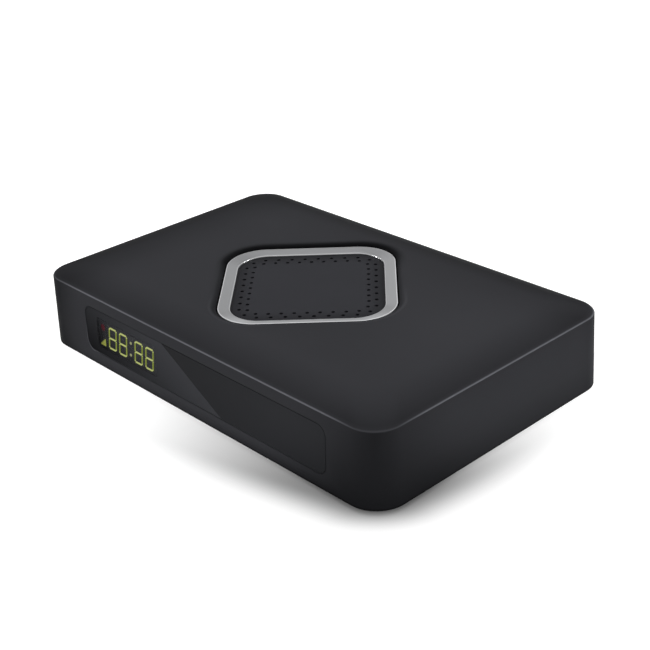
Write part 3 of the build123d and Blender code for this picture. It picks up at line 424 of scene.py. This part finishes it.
class Paint:
    # the nodes of one material, or of the room
    def __init__(self, holder):
        if isinstance(holder, str):
            holder = bpy.data.materials.new(holder)
            holder.use_nodes = True
            self.shader = holder.node_tree.nodes["Principled BSDF"]
            self.output = holder.node_tree.nodes["Material Output"]
        self.material = holder
        self.tree = holder.node_tree
        self.spot = None
        self.facing = None

    def add(self, kind, sockets=None, out=0, **settings):
        node = self.tree.nodes.new("ShaderNode" + kind)
        for key, value in settings.items():
            setattr(node, key, value)
        for key, value in (sockets or {}).items():
            self.feed(node.inputs[key], value)
        return Wire(self, node.outputs[out])

    def feed(self, socket, value):
        if isinstance(value, Wire):
            self.tree.links.new(value.socket, socket)
        else:
            socket.default_value = value

    def place(self):
        return self.add("TexCoord", out="Object")

    def split(self, vector):
        node = self.add("SeparateXYZ", {0: vector}).socket.node
        return [Wire(self, output) for output in node.outputs]

    def axes(self):
        # x, y and z of the surface point, in millimetres
        if self.spot is None:
            self.spot = [part * (1 / mm) for part in self.split(self.place())]
        return self.spot

    def high(self):
        # height over the case's foot, in millimetres
        return self.axes()[2] - case["foot"] / mm

    def normals(self):
        # how far the surface faces right, back and up
        if self.facing is None:
            self.facing = self.split(self.add("NewGeometry", out="Normal"))
        return self.facing

    def beyond(self, half, corner):
        # mm outside a rounded square turned by 45 degrees round the roof's middle: the length of
        # what is left of the two slanted distances past the corner's centre, less its radius.
        # The two distances follow: across to the back right, and along to the back left.
        x, y, z = self.axes()
        across = (x + y - case["middle"] / mm) * (1 / sqrt(2))
        along = (y - x - case["middle"] / mm) * (1 / sqrt(2))
        flat = (half - corner) / mm
        past = length((abs(across) - flat).most(0.0), (abs(along) - flat).most(0.0))
        return past - corner / mm, across, along

    def panelReach(self):
        # mm outside the front panel's rounded outline
        x, y, z = self.axes()
        corner = panel["corner"] / mm
        up = z - (case["foot"] + panel["z"]) / mm
        pastX = (abs(x - panel["x"] / mm) - (panel["width"] / mm / 2 - corner)).most(0.0)
        pastZ = (abs(up) - (panel["height"] / mm / 2 - corner)).most(0.0)
        return length(pastX, pastZ) - corner

    def rays(self, kind):
        return self.add("LightPath", out=kind)

    def noise(self, size, detail=2.0, roughness=0.5):
        # soft noise with lumps of the given size in millimetres, from 0 to 1
        sockets = {"Vector": self.place(), "Scale": 1 / mm / size}
        sockets.update({"Detail": detail, "Roughness": roughness})
        return self.add("TexNoise", sockets, noise_dimensions="3D")

    def grain(self, size):
        return self.noise(size, detail=3.0, roughness=0.6)

    def blend(self, share, first, second):
        # a colour between two others
        return self.add("Mix", {"Factor": share, 6: first, 7: second}, 2, data_type="RGBA")

    def scaled(self, colour, tone):
        return self.add("VectorMath", {0: colour, "Scale": tone}, operation="SCALE")

    def bump(self, height, depth):
        # depth of the relief in millimetres
        return self.add("Bump", {"Height": height, "Distance": depth * mm})

    def finish(self, **values):
        for key, value in values.items():
            self.feed(self.shader.inputs[key.replace("_", " ")], value)
        return self.material


def shade(colour, factor=1.0):
    return (*(c * factor for c in colour), 1.0)


# The case's colour carries painted shade and painted highlights by place: a share of its colour
# is lost or gained, over ranges that are in mm where nothing else is said, and for "facing" are
# parts of the normal.
casePlastic = {
    "colour": (0.0287, 0.0291, 0.0324),
    "roughness": (0.54, 0.62),
    "specular": 0.009,
    "grain": 0.32,  # of the spark-eroded texture
    "grainDepth": 0.01,
    "cloud": 38.0,  # size of the coat's broad unevenness
    "cloudTones": (0.94, 1.06),
    "frontLean": 0.6,  # how much the front's share takes in of the left corner
    "frontFacing": (0.1, 0.7),
    "upward": (-0.2, 1.2),  # over the rim, where wall turns into roof
}

# painted shade on the roof, most where it slopes, and a painted sheen in its middle
roofPaintedLight = {
    "loss": 0.08,
    "slopeShade": 2.1,  # painted shade where the roof slopes
    "backShade": 1.3,  # and on slopes to the back left
    "mostShade": 0.46,  # of the three together
    "overRim": (0.0, 0.9),  # where they set in
    "leftLoss": 0.42,  # at the roof's left end
    "leftX": (-92.0, -50.0),
    "rearShade": 0.2,  # and along its back
    "rearY": (21.0, 54.0),
    "middleSheen": 0.13,  # painted sheen in the middle of its right half
    "middleX": 60.0,
    "middleReach": (0.0, 46.0),
}

# painted light and painted shade on the walls
wallPaintedLight = {
    "footLight": 0.1,
    "sideLight": 0.3,  # painted light, more at the right wall's foot
    "cornerShade": 0.8,  # painted shade on the front wall's left corner
    "cornerX": (-90.0, -63.0),
    "footShade": 0.32,  # painted shade along the very foot
    "footLine": (0.25, 1.1),
    "endShade": 0.3,  # painted shade at the right wall's back end
    "endY": (36.0, 54.0),
    "endFacing": (0.3, 0.9),
}

# a painted highlight along the rim, on a line that is also less rough
rimPaintedHighlight = {
    "gain": 2.6,  # painted highlight: how much lighter the rim line's colour is
    "polish": 0.2,  # what the line takes off the roughness
    "over": 0.05,  # its middle, over the rim
    "half": 0.3,  # half its height
    "cornerShare": 0.3,  # of the painted highlight left at the near right corner
    "cornerInset": 3.0,  # where that corner is counted from
    "cornerReach": (5.0, 22.0),
}

openingPaintedLight = {
    "wellShade": 0.72,  # painted shade on the far roll of the opening
    "wellReach": (0.6, 4.4),  # outside it
    "farSide": (6.0, 30.0),  # towards the back left
    "leftShare": 0.3,  # of that loss on the front left side
    "leftSide": (14.0, 30.0),
    "crestHighlight": 0.3,  # painted highlight along the roll's near corners
    "crest": 2.7,  # where that line is, outside the opening
    "crestSoft": (0.1, 0.9),
    "nearSide": (4.0, 22.0),
    "nearCorners": (8.0, 20.0),
    "grooveShade": 0.55,  # painted shade beside the ring
    "groove": (0.2, 0.9),
}

panelEdgePaintedLight = {
    "gain": 1.6,  # painted highlight on the panel's edge at its lower left
    "loss": 0.4,  # and painted shade along the rest of it
    "line": 0.12,  # the edge's middle, outside the outline
    "soft": (0.06, 0.3),
    "leftX": (-60.0, -52.0),
    "lowZ": (8.0, 19.0),
}


def roofTone(paint, upward, look=roofPaintedLight):
    x, y, z = paint.axes()
    right, back, up = paint.normals()
    # painted shade on slopes, the left end and the back; painted sheen in the middle
    slope = (1.0 - up) * look["slopeShade"]
    backSlope = (back - right).most(0.0) * look["backShade"]
    loss = (slope + backSlope + look["loss"]).least(look["mostShade"])
    loss = loss * (paint.high() - case["rim"] / mm).over(*look["overRim"])
    fade = x.under(*look["leftX"]) * look["leftLoss"] + y.over(*look["rearY"]) * look["rearShade"]
    middle = length(x - look["middleX"], y).under(*look["middleReach"])
    return (1.0 - loss) * (1.0 + (middle * look["middleSheen"] - fade) * upward)


def wallTone(paint, front, look=wallPaintedLight):
    x, y, z = paint.axes()
    right = paint.normals()[0]
    # painted light towards the foot; painted shade at the corner, the foot line and the back end
    foot = (1.0 - paint.high() / (case["rim"] / mm)).most(0.0)
    gain = foot * (look["footLight"] + look["sideLight"] * right.most(0.0))
    corner = x.under(*look["cornerX"]) * look["cornerShade"] * front
    line = paint.high().under(*look["footLine"]) * look["footShade"]
    end = y.over(*look["endY"]) * right.over(*look["endFacing"]) * look["endShade"]
    return (1.0 + gain) * (1.0 - corner) * (1.0 - line) * (1.0 - end)


def rimHighlightLine(paint, look=rimPaintedHighlight):
    # 1 along the rim's painted highlight line, less near the right front corner
    x, y, z = paint.axes()
    line = abs(z - ((case["foot"] + case["rim"]) / mm + look["over"])).under(0.0, look["half"])
    aside = x - (case["halfX"] / mm - look["cornerInset"])
    ahead = y - ((case["middle"] - case["halfY"]) / mm + look["cornerInset"])
    away = length(aside, ahead).over(*look["cornerReach"])
    return line * away.between(look["cornerShare"], 1.0)


def openingTone(paint, look=openingPaintedLight):
    # painted shade on the far roll and beside the ring, painted highlight on the near crest
    out, across, along = paint.beyond(opening["half"], opening["corner"])
    far = along.over(*look["farSide"])
    far = (far + look["leftShare"] * (-across).over(*look["leftSide"])).least(1.0)
    well = out.under(*look["wellReach"]) * far * look["wellShade"]
    crest = abs(out - look["crest"]).under(*look["crestSoft"]) * look["crestHighlight"]
    crest = crest * (-along).over(*look["nearSide"]) * abs(across).over(*look["nearCorners"])
    groove = out.under(*look["groove"]) * look["grooveShade"]
    return (1.0 - well) * (1.0 + crest) * (1.0 - groove)


def panelEdgeTone(paint, front, look=panelEdgePaintedLight):
    # a painted highlight on the panel edge's lower left, painted shade along the rest
    edge = abs(paint.panelReach() - look["line"]).under(*look["soft"]) * front
    lowerLeft = paint.axes()[0].under(*look["leftX"]) * paint.high().under(*look["lowZ"])
    gain = edge * lowerLeft * look["gain"]
    loss = edge * (1.0 - lowerLeft) * look["loss"]
    return (1.0 + gain) * (1.0 - loss)


def paintCase(name, look=casePlastic):
    paint = Paint(name)
    fine = paint.grain(look["grain"])
    right, back, up = paint.normals()
    upward = (paint.high() - case["rim"] / mm).over(*look["upward"])
    front = (-back - look["frontLean"] * right).over(*look["frontFacing"]) * (1.0 - upward)
    rimLine = rimHighlightLine(paint)
    # painted shade and painted highlights by place, from the tables above
    tone = roofTone(paint, upward) * wallTone(paint, front) * openingTone(paint)
    tone = tone * panelEdgeTone(paint, front) * (1.0 + rimLine * rimPaintedHighlight["gain"])
    tone = tone * paint.noise(look["cloud"]).between(*look["cloudTones"])
    return paint.finish(
        Base_Color=paint.scaled(look["colour"], tone),
        Roughness=fine.between(*look["roughness"]) - rimPaintedHighlight["polish"] * rimLine,
        Specular_IOR_Level=look["specular"],
        Normal=paint.bump(fine, look["grainDepth"]),
    )


ringSilver = {
    "colour": (0.29, 0.294, 0.302),
    "tones": (0.96, 1.04),
    "cloud": 9.0,  # mm
    "roughness": (0.27, 0.33),
    "grain": 0.25,
    "grainDepth": 0.004,
    "chamfer": (0.78, 0.785, 0.8),  # the polished edges, lighter in colour: real polish and a painted highlight
    "outerChamfer": (-0.42, -0.3),  # mm outside the ring's outer edge
    "innerChamfer": (0.3, 0.42),  # and outside its inner one
    "innerShare": 0.35,  # of that polish on the inner edge
    "leftSideLight": (0.63, 0.96),  # painted light and shade: tones of the two left sides, front and back
    "rightSideLight": (1.75, 0.75),  # and of the two right ones
    "swap": (-1.0, 1.0),  # mm, where a side's tone gives way to the opposite one's
    "turn": (-9.0, 9.0),  # and to the next one's
}


def paintRing(name, look=ringSilver):
    paint = Paint(name)
    fine = paint.noise(look["grain"])
    outer, across, along = paint.beyond(ring["half"], ring["corner"])
    inner = paint.beyond(ring["half"] - ring["band"], ring["innerCorner"])[0]
    # each side of the ring gets its own tone: painted light and painted shade
    leftFront, leftBack = look["leftSideLight"]
    rightFront, rightBack = look["rightSideLight"]
    slanted = across.over(*look["swap"]).between(leftFront, rightBack)
    crossed = along.over(*look["swap"]).between(rightFront, leftBack)
    turned = (abs(across) - abs(along)).over(*look["turn"])
    tone = slanted * turned + crossed * (1.0 - turned)
    tone = tone * paint.noise(look["cloud"], detail=3.0).between(*look["tones"])
    # the edges are lighter: real polish and a painted highlight
    polishAndHighlight = outer.over(*look["outerChamfer"])
    polishAndHighlight = (polishAndHighlight + inner.under(*look["innerChamfer"]) * look["innerShare"]).least(1.0)
    face = paint.scaled(look["colour"], tone)
    return paint.finish(
        Base_Color=paint.blend(polishAndHighlight, face, shade(look["chamfer"])),
        Metallic=1.0,
        Roughness=fine.between(*look["roughness"]),
        Normal=paint.bump(fine, look["grainDepth"]),
    )


grillePlate = {
    "colour": (0.0205, 0.0208, 0.0245),
    "tones": (0.94, 1.06),
    "cloud": 12.0,  # mm
    "roughness": (0.5, 0.6),
    "specular": 0.03,
    "grain": 0.35,
    "grainDepth": 0.008,
    "ringSideShade": 0.42,  # painted shade: share of the colour lost beside the ring
    "ringSideReach": (-8.0, 0.0),  # mm outside the ring's inner edge
}


def paintPlate(name, look=grillePlate):
    paint = Paint(name)
    fine = paint.grain(look["grain"])
    inner = paint.beyond(ring["half"] - ring["band"], ring["innerCorner"])[0]
    # painted shade towards the ring
    tone = 1.0 - inner.over(*look["ringSideReach"]) * look["ringSideShade"]
    tone = tone * paint.noise(look["cloud"]).between(*look["tones"])
    return paint.finish(
        Base_Color=paint.scaled(look["colour"], tone),
        Roughness=fine.between(*look["roughness"]),
        Specular_IOR_Level=look["specular"],
        Normal=paint.bump(fine, look["grainDepth"]),
    )


# the smoke is lighter than the fascia beside it and lighter to the right and above: a painted
# reflection
displayLens = {
    "colour": (0.0318, 0.0324, 0.0358),  # of the smoke at its upper right
    "tones": (0.97, 1.03),
    "cloud": 1.5,  # mm
    "roughness": (0.1, 0.14),
    "haze": 0.15,  # how much of the smoke shows in front of the marks
    "windowX": (-54.6, -19.4),  # mm, the clear part
    "windowZ": (8.6, 19.6),  # its foot and top, over the case's foot
    "soft": 1.1,  # mm, half the width of its soft edge
    "skin": (0.35, 0.65),  # mm in from the wall's face, where the smoke ends
    "fullX": -34.0,  # where the smoke has its colour
    "fullZ": 21.0,
    "fadeAcross": 0.0123,  # of it, lost per mm to the left
    "fadeDown": 0.027,
    "leastTone": 0.3,
}

# what stands behind the lens has the smoke's colour, and more of it where the clear part's
# left and lower edges shade it: painted light, with a faint glow there that lifts that shade
behindLens = {
    "tone": 1.45,
    "leftGain": 1.3,
    "leftReach": (-0.9, 1.3),  # mm from the clear part's left edge
    "lowGain": 0.8,
    "lowReach": (-1.4, 0.2),  # and from its foot
    "shadeLiftGlow": 0.5,  # painted glow that lifts that shade, against the smoke's colour
    "roughness": (0.6, 0.7),
    "grain": 0.5,
    "specular": 0.05,
}


def smoke(paint, share=1.0, look=displayLens):
    # the smoke's colour at each place, lighter to the right and above: a painted reflection
    tone = 1.0 + (paint.axes()[0] - look["fullX"]) * look["fadeAcross"]
    tone = (tone + (paint.high() - look["fullZ"]) * look["fadeDown"]).most(look["leastTone"])
    tone = tone * paint.noise(look["cloud"]).between(*look["tones"]) * share
    return paint.scaled(look["colour"], tone)


def paintLens(name, look=displayLens):
    paint = Paint(name)
    x, y, z = paint.axes()
    soft = look["soft"]
    clear = 1.0
    for spot, (start, end) in ((x, look["windowX"]), (paint.high(), look["windowZ"])):
        clear = clear * spot.over(start - soft, start + soft) * spot.under(end - soft, end + soft)
    # the smoke lies on the lens's face only: its back is clear all over
    face = (case["middle"] - case["halfY"] - case["lean"]) / mm
    depth = y - paint.high() * (case["lean"] / case["rim"]) - face
    clear = clear.most(depth.over(*look["skin"]))
    return paint.finish(
        Base_Color=smoke(paint),
        Roughness=paint.noise(look["cloud"]).between(*look["roughness"]),
        Specular_IOR_Level=0.0,
        Alpha=1.0 - clear * (1.0 - look["haze"]),
    )


def paintBehindLens(name, look=behindLens):
    paint = Paint(name)
    fromLeft = paint.axes()[0] - displayLens["windowX"][0]
    fromFoot = paint.high() - displayLens["windowZ"][0]
    # painted light: lighter and faintly glowing where the clear part's edges shade it
    gain = fromLeft.under(*look["leftReach"]) * look["leftGain"]
    gain = gain + fromFoot.under(*look["lowReach"]) * look["lowGain"]
    return paint.finish(
        Base_Color=smoke(paint, look["tone"] * (1.0 + gain)),
        Emission_Color=smoke(paint, gain * look["shadeLiftGlow"]),
        Emission_Strength=1.0,
        Roughness=paint.noise(look["grain"]).between(*look["roughness"]),
        Specular_IOR_Level=look["specular"],
    )


frontFascia = {
    "colour": (0.0126, 0.013, 0.0146),  # at x
    "x": -2.0,
    "lift": 0.0118,  # painted light: share of it gained per mm to the right
    "tones": (0.97, 1.03),
    "ripple": 14.0,  # mm
    "rippleDepth": 0.002,
    "roughness": (0.16, 0.22),
    "specular": 0.02,
}


def paintFascia(name, look=frontFascia):
    paint = Paint(name)
    ripple = paint.noise(look["ripple"], detail=1.0)
    # painted light, lighter to the right
    tone = 1.0 + (paint.axes()[0] - look["x"]) * look["lift"]
    return paint.finish(
        Base_Color=paint.scaled(look["colour"], tone * ripple.between(*look["tones"])),
        Roughness=ripple.between(*look["roughness"]),
        Specular_IOR_Level=look["specular"],
        Normal=paint.bump(ripple, look["rippleDepth"]),
    )


# lit marks: the colour they show unlit is a share of the one they shine in
glow = {
    "unlit": 0.3,
    "tones": (0.9, 1.05),
    "grain": 0.6,  # mm
    "roughness": (0.4, 0.5),
    "specular": 0.03,
}

smallLights = {
    "barsFinish": {"on": "signal_bars", "colour": (0.56, 0.6, 0.12), "strength": 0.5},
    "lampFinish": {"on": "standby_lamp", "colour": (0.26, 0.03, 0.05), "strength": 0.04},
}

clockMarks = {
    "bars": (0.68, 0.73, 0.27),  # the level strokes
    "posts": (0.26, 0.32, 0.045),  # the upright ones
    "dots": (0.42, 0.42, 0.25),
    "strength": 0.8,
    "stroke": 1.05,  # mm
    "endBar": (-1.1, -0.8),  # in strokes, from a digit's top or foot
    "middleBar": (0.3, 0.6),  # and from its middle
    "dotsReach": (1.2, 1.6),  # mm to either side of the clock's middle
}


def finishGlow(paint, unlit, lit, strength):
    return paint.finish(
        Base_Color=shade(unlit, glow["unlit"]),
        Roughness=paint.noise(glow["grain"]).between(*glow["roughness"]),
        Specular_IOR_Level=glow["specular"],
        Emission_Color=lit,
        Emission_Strength=strength,
    )


def paintGlow(name, look):
    paint = Paint(name)
    faint, full = (shade(look["colour"], tone) for tone in glow["tones"])
    lit = paint.blend(paint.noise(glow["grain"]), faint, full)
    return finishGlow(paint, look["colour"], lit, look["strength"])


def paintSegments(name, look=clockMarks):
    # level strokes are those at the top, middle and foot of the digits
    paint = Paint(name)
    x, y, z = paint.axes()
    low, high = (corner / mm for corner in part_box("display_segments"))
    off = abs(z - (low.z + high.z) / 2) / look["stroke"]
    fromEnd = off - (high.z - low.z) / 2 / look["stroke"]
    level = (fromEnd.over(*look["endBar"]) + off.under(*look["middleBar"])).least(1.0)
    dots = abs(x - (low.x + high.x) / 2).under(*look["dotsReach"])
    lit = paint.blend(level, shade(look["posts"]), shade(look["bars"]))
    lit = paint.blend(dots, lit, shade(look["dots"]))
    return finishGlow(paint, look["posts"], lit, look["strength"])


# Plain finishes, each with the nodes that have it. "grain" is in mm, and so is its depth.
plastics = {
    "panFinish": {
        "on": "base_pan",
        "colour": (0.018, 0.018, 0.02),
        "roughness": 0.6,
        "specular": 0.2,
    },
    "rubberFinish": {
        "on": "rubber_feet",
        "colour": (0.015, 0.015, 0.015),
        "roughness": 0.8,
        "specular": 0.2,
    },
    "rearFinish": {
        "on": "rear_panel",
        "colour": (0.016, 0.016, 0.018),
        "roughness": 0.5,
        "specular": 0.3,
        "grain": 0.5,
        "grainDepth": 0.02,
    },
    "socketFinish": {
        "on": "av_jack lan_socket dc_socket optical_socket optical_shutter reset_switch "
        "reset_button switch_body power_rocker hdmi_tongue",
        "colour": (0.014, 0.014, 0.016),
        "roughness": 0.4,
        "specular": 0.4,
    },
    "chipFinish": {
        "on": "main_chip memory_chips flash_chip demodulator_chip lan_transformer power_coils "
        "remote_sensor",
        "colour": (0.018, 0.018, 0.019),
        "roughness": 0.6,
        "specular": 0.3,
        "grain": 0.2,
        "grainDepth": 0.01,
    },
    "boardFinish": {
        "on": "main_board",
        "colour": (0.02, 0.11, 0.045),
        "roughness": 0.35,
        "specular": 0.5,
        "grain": 0.6,
        "grainDepth": 0.02,
    },
    "blackBoardFinish": {
        "on": "display_board",
        "colour": (0.045, 0.046, 0.05),
        "roughness": 0.4,
        "specular": 0.1,
        "grain": 0.6,
        "grainDepth": 0.01,
    },
    "paleFinish": {
        "on": "aerial_insulator usb_tongue ribbon_sockets flat_cable",
        "colour": (0.7, 0.69, 0.64),
        "roughness": 0.45,
        "specular": 0.4,
    },
    "padFinish": {
        "on": "thermal_pad",
        "colour": (0.3, 0.32, 0.36),
        "roughness": 0.8,
        "specular": 0.3,
    },
    "leadFinish": {
        "on": "switch_leads",
        "colour": (0.25, 0.015, 0.015),
        "roughness": 0.4,
        "specular": 0.4,
    },
}

metals = {
    "tinFinish": {
        "on": "tuner_can tuner_lid hdmi_shell usb_shell crystal",
        "colour": (0.46, 0.46, 0.45),
        "roughness": 0.32,
    },
    "steelFinish": {
        "on": "case_screws board_screws display_screws",
        "colour": (0.42, 0.42, 0.42),
        "roughness": 0.35,
    },
    "nickelFinish": {
        "on": "aerial_socket aerial_nut aerial_washer dc_pin",
        "colour": (0.43, 0.42, 0.39),
        "roughness": 0.24,
    },
    "goldFinish": {"on": "lan_contacts", "colour": (0.75, 0.55, 0.2), "roughness": 0.25},
    "sinkFinish": {"on": "heat_sink", "colour": (0.06, 0.06, 0.065), "roughness": 0.45},
    "capacitorFinish": {"on": "capacitors", "colour": (0.2, 0.2, 0.25), "roughness": 0.4},
}

# what these have unless their own line says otherwise, and how far it strays from the middle
commonPlastic = {
    "grain": 0.35,
    "grainDepth": 0.008,
    "cloud": 7.0,
    "tones": (0.9, 1.1),
    "stray": (-0.05, 0.05),
}
commonMetal = {
    "grain": 0.2,
    "grainDepth": 0.004,
    "cloud": 5.0,
    "tones": (0.85, 1.05),
    "stray": (-0.05, 0.07),
}


def strayed(noise, look):
    return noise.between(*(look["roughness"] + stray for stray in look["stray"]))


def clouded(paint, noise, look):
    return paint.blend(noise, *(shade(look["colour"], tone) for tone in look["tones"]))


def paintPlastic(name, look):
    paint = Paint(name)
    fine = paint.grain(look["grain"])
    return paint.finish(
        Base_Color=clouded(paint, paint.noise(look["cloud"]), look),
        Roughness=strayed(fine, look),
        Specular_IOR_Level=look["specular"],
        Normal=paint.bump(fine, look["grainDepth"]),
    )


def paintMetal(name, look):
    paint = Paint(name)
    stain = paint.grain(look["cloud"])
    return paint.finish(
        Base_Color=clouded(paint, stain, look),
        Metallic=1.0,
        Roughness=strayed(stain, look),
        Normal=paint.bump(paint.grain(look["grain"]), look["grainDepth"]),
    )


def dress(piece, material):
    piece.data.materials.clear()
    piece.data.materials.append(material)


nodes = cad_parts
dress(coverPiece, paintCase("caseFinish"))
dress(ringPiece, paintRing("ringFinish"))
dress(nodes["grille_plate"], paintPlate("plateFinish"))
dress(nodes["display_lens"], paintLens("lensFinish"))
dress(nodes["front_fascia"], paintFascia("fasciaFinish"))
dress(nodes["display_segments"], paintSegments("segmentFinish"))
displayFace = paintBehindLens("displayFaceFinish")
dress(nodes["digit_display"], displayFace)
dress(nodes["lamp_block"], displayFace)
for finishes, common, lay in (
    (smallLights, {}, paintGlow),
    (plastics, commonPlastic, paintPlastic),
    (metals, commonMetal, paintMetal),
):
    for name, look in finishes.items():
        material = lay(name, {**common, **look})
        for node in look["on"].split():
            dress(nodes[node], material)
print("finishes laid on")


# Studio: a white floor and room, two lamps with a straight-edged pool and two soft ones.
# The floor glows where it is seen, so that it meets the white room. The glow is left out in a
# wedge round the near corner, a painted shadow: its two edges each start at a place in mm and turn
# by a slope away from the case. It is also left out beside the walls behind, a painted contact
# shadow.
floorLook = {
    "half": 6.0,
    "colour": 0.5,
    "bounce": 0.35,  # of the floor in the light that it throws back
    "glow": 0.8,
    "frontEdge": (88.0, -66.5, 0.21),
    "sideEdge": (96.5, -57.0, 0.12),
    "wedgeCorner": 18.0,
    "wedgeShadow": 0.95,
    "wedgeSoft": (-9.0, 10.0),
    "wedgeFall": 1.4,  # the power by which it falls off
    "alongFront": (30.0, 132.0),  # mm from the corner, over which the wedge fades
    "alongSide": (15.0, 100.0),
    "contact": (0.0, 26.0),  # mm from the case
    "contactShadow": 0.65,  # painted contact shadow, as a share of the wedge's loss
    "behindSlope": 0.6,  # mm to the back for each mm to the right, where "behind" begins
    "behindSoft": (0.0, 30.0),
}

room = {"light": 0.62, "inReflections": 0.35}

# A pool lamp's light is parallel, from an azimuth and elevation in degrees. One side of its
# pool crosses the case at "edge" (in metres) along the direction "slant".
poolLamps = {
    "frontLamp": {
        "from": (-47, 20),
        "edge": (0.07, -0.0575, 0.014),
        "slant": (0.664, 0, 0.747),
        "side": -1,
        "power": 0.74,
    },
    "sideLamp": {
        "from": (134, 20),
        "edge": (0.0905, -0.037, 0.014),
        "slant": (0, -0.669, 0.743),
        "side": 1,
        "power": 0.72,
    },
}
pool = {"half": 0.25, "away": 0.6, "spread": 3.0}

softLamps = {
    "roofLamp": {"from": (227, 70), "away": 1.2, "size": (0.7, 0.7), "power": 1.8},
    "backLamp": {"from": (227, 28), "away": 1.0, "size": (0.5, 0.3), "power": 0.5},
}
soft = {"target": (0, 0, 0.02), "spread": 180}


def pastEdge(place, aheadOf, slope):
    # mm past an edge that turns by the slope with the other axis
    return (aheadOf * slope + place) * (1 / sqrt(1 + slope**2))


def floorGlowAndShadow(paint, look=floorLook):
    x, y, z = paint.axes()
    frontX, frontY, frontSlope = look["frontEdge"]
    sideX, sideY, sideSlope = look["sideEdge"]
    ahead = pastEdge(-(y - frontY), x - frontX, frontSlope)
    aside = pastEdge(x - sideX, -(y - sideY), sideSlope)
    corner = look["wedgeCorner"]
    past = length((aside + corner).most(0.0), (ahead + corner).most(0.0)) - corner
    wedge = past.under(*look["wedgeSoft"]) ** look["wedgeFall"]
    wedge = wedge * (frontX - x).under(*look["alongFront"])
    wedge = wedge * (y - sideY).under(*look["alongSide"])
    outX = (abs(x) - case["halfX"] / mm).most(0.0)
    outY = (abs(y - case["middle"] / mm) - case["halfY"] / mm).most(0.0)
    near = length(outX, outY).under(*look["contact"])
    behind = (y - x * look["behindSlope"]).over(*look["behindSoft"])
    # painted shadow: where the glow is left out, only the floor's real shade from the lamps shows
    loss = wedge.most(near * behind * look["contactShadow"]) * look["wedgeShadow"]
    return (1.0 - loss) * look["glow"]


def makeFloor(look=floorLook):
    half = look["half"]
    points = np.array([[-half, -half, 0], [half, -half, 0], [half, half, 0], [-half, half, 0]])
    floor = makePiece("floor", points, np.array([[0, 1, 2, 3]]))
    paint = Paint("floorPaint")
    seen, bounce = (
        paint.add("BsdfDiffuse", {"Color": (level, level, level, 1)})
        for level in (look["colour"], look["bounce"])
    )
    shine = paint.add("Emission", {"Color": (1, 1, 1, 1), "Strength": floorGlowAndShadow(paint)})
    lit = paint.add("AddShader", {0: seen, 1: shine})
    # the rays in which the camera, a reflection or a clear piece shows the floor
    shown = paint.rays("Is Camera Ray").most(paint.rays("Is Glossy Ray"))
    shown = shown.most(paint.rays("Is Transmission Ray"))
    surface = paint.add("MixShader", {0: shown, 1: bounce, 2: lit})
    paint.feed(paint.output.inputs["Surface"], surface)
    floor.data.materials.append(paint.material)


def toward(angles):
    # the direction of an azimuth and elevation, from the case
    azimuth, elevation = (radians(angle) for angle in angles)
    level = cos(elevation)
    return Vector((sin(azimuth) * level, -cos(azimuth) * level, sin(elevation)))


def hangLamp(name, size, power, spread, spot, axes):
    lamp = bpy.data.lights.new(name, "AREA")
    lamp.shape = "RECTANGLE"
    lamp.size, lamp.size_y = size
    lamp.spread = radians(spread)
    lamp.energy = power
    hang(name, lamp, spot, axes)


def hang(name, data, spot, axes):
    # axes: where its own right, up and back point
    holder = bpy.data.objects.new(name, data)
    bpy.context.scene.collection.objects.link(holder)
    holder.location = spot
    holder.rotation_mode = "QUATERNION"
    holder.rotation_quaternion = Matrix(axes).transposed().to_quaternion()
    return holder


def addPoolLamp(name, look):
    away = toward(look["from"])
    slant = Vector(look["slant"])
    along = (slant - away * slant.dot(away)).normalized()
    across = along.cross(away)
    spot = Vector(look["edge"]) + across * look["side"] * pool["half"] + away * pool["away"]
    size = (2 * pool["half"], 2 * pool["half"])
    hangLamp(name, size, look["power"], pool["spread"], spot, (across, along, away))


def addSoftLamp(name, look):
    away = toward(look["from"])
    across = Vector((0, 0, 1)).cross(away).normalized()
    spot = Vector(soft["target"]) + away * look["away"]
    axes = (across, away.cross(across), away)
    hangLamp(name, look["size"], look["power"], soft["spread"], spot, axes)


def lightRoom():
    # white where the room is seen, dimmer in reflections, and a low even light on everything
    world = bpy.data.worlds.new("room")
    bpy.context.scene.world = world
    world.use_nodes = True
    paint = Paint(world)
    seen = paint.rays("Is Camera Ray").most(paint.rays("Is Transmission Ray"))
    gloss = paint.rays("Is Glossy Ray") * room["inReflections"]
    back = paint.tree.nodes["Background"]
    paint.feed(back.inputs["Color"], (1, 1, 1, 1))
    paint.feed(back.inputs["Strength"], seen.most(gloss).most(room["light"]))


makeFloor()
lightRoom()
for lampName, look in poolLamps.items():
    addPoolLamp(lampName, look)
for lampName, look in softLamps.items():
    addSoftLamp(lampName, look)

# The camera stands at the viewing angle worked out for the case.
view = {
    "azimuth": 47.7772,
    "elevation": 26.9302,
    "roll": -2.9386,
    "unit": 0.18,  # the case's width, in which the next three are given
    "distance": 2.6532,
    "aside": 0.02434,
    "above": 0.0652,
    "lens": 70.25,
    "sensor": 36.0,
    "nearest": 0.01,
}


def placeCamera():
    roll = radians(view["roll"])
    back = toward((view["azimuth"], view["elevation"]))
    azimuth = radians(view["azimuth"])
    right = Vector((cos(azimuth), sin(azimuth), 0))
    up = back.cross(right)
    rolledRight = right * cos(roll) + up * sin(roll)
    rolledUp = up * cos(roll) - right * sin(roll)
    target = rolledRight * view["aside"] + rolledUp * view["above"]
    spot = (back * view["distance"] + target) * view["unit"]
    spot += Vector((0, case["middle"], case["foot"]))
    camera = bpy.data.cameras.new("camera")
    camera.lens = view["lens"]
    camera.sensor_width = view["sensor"]
    camera.clip_start = view["nearest"]
    bpy.context.scene.camera = hang("camera", camera, spot, (rolledRight, rolledUp, back))


placeCamera()
bpy.context.scene.view_settings.view_transform = "Standard"
print("studio ready")
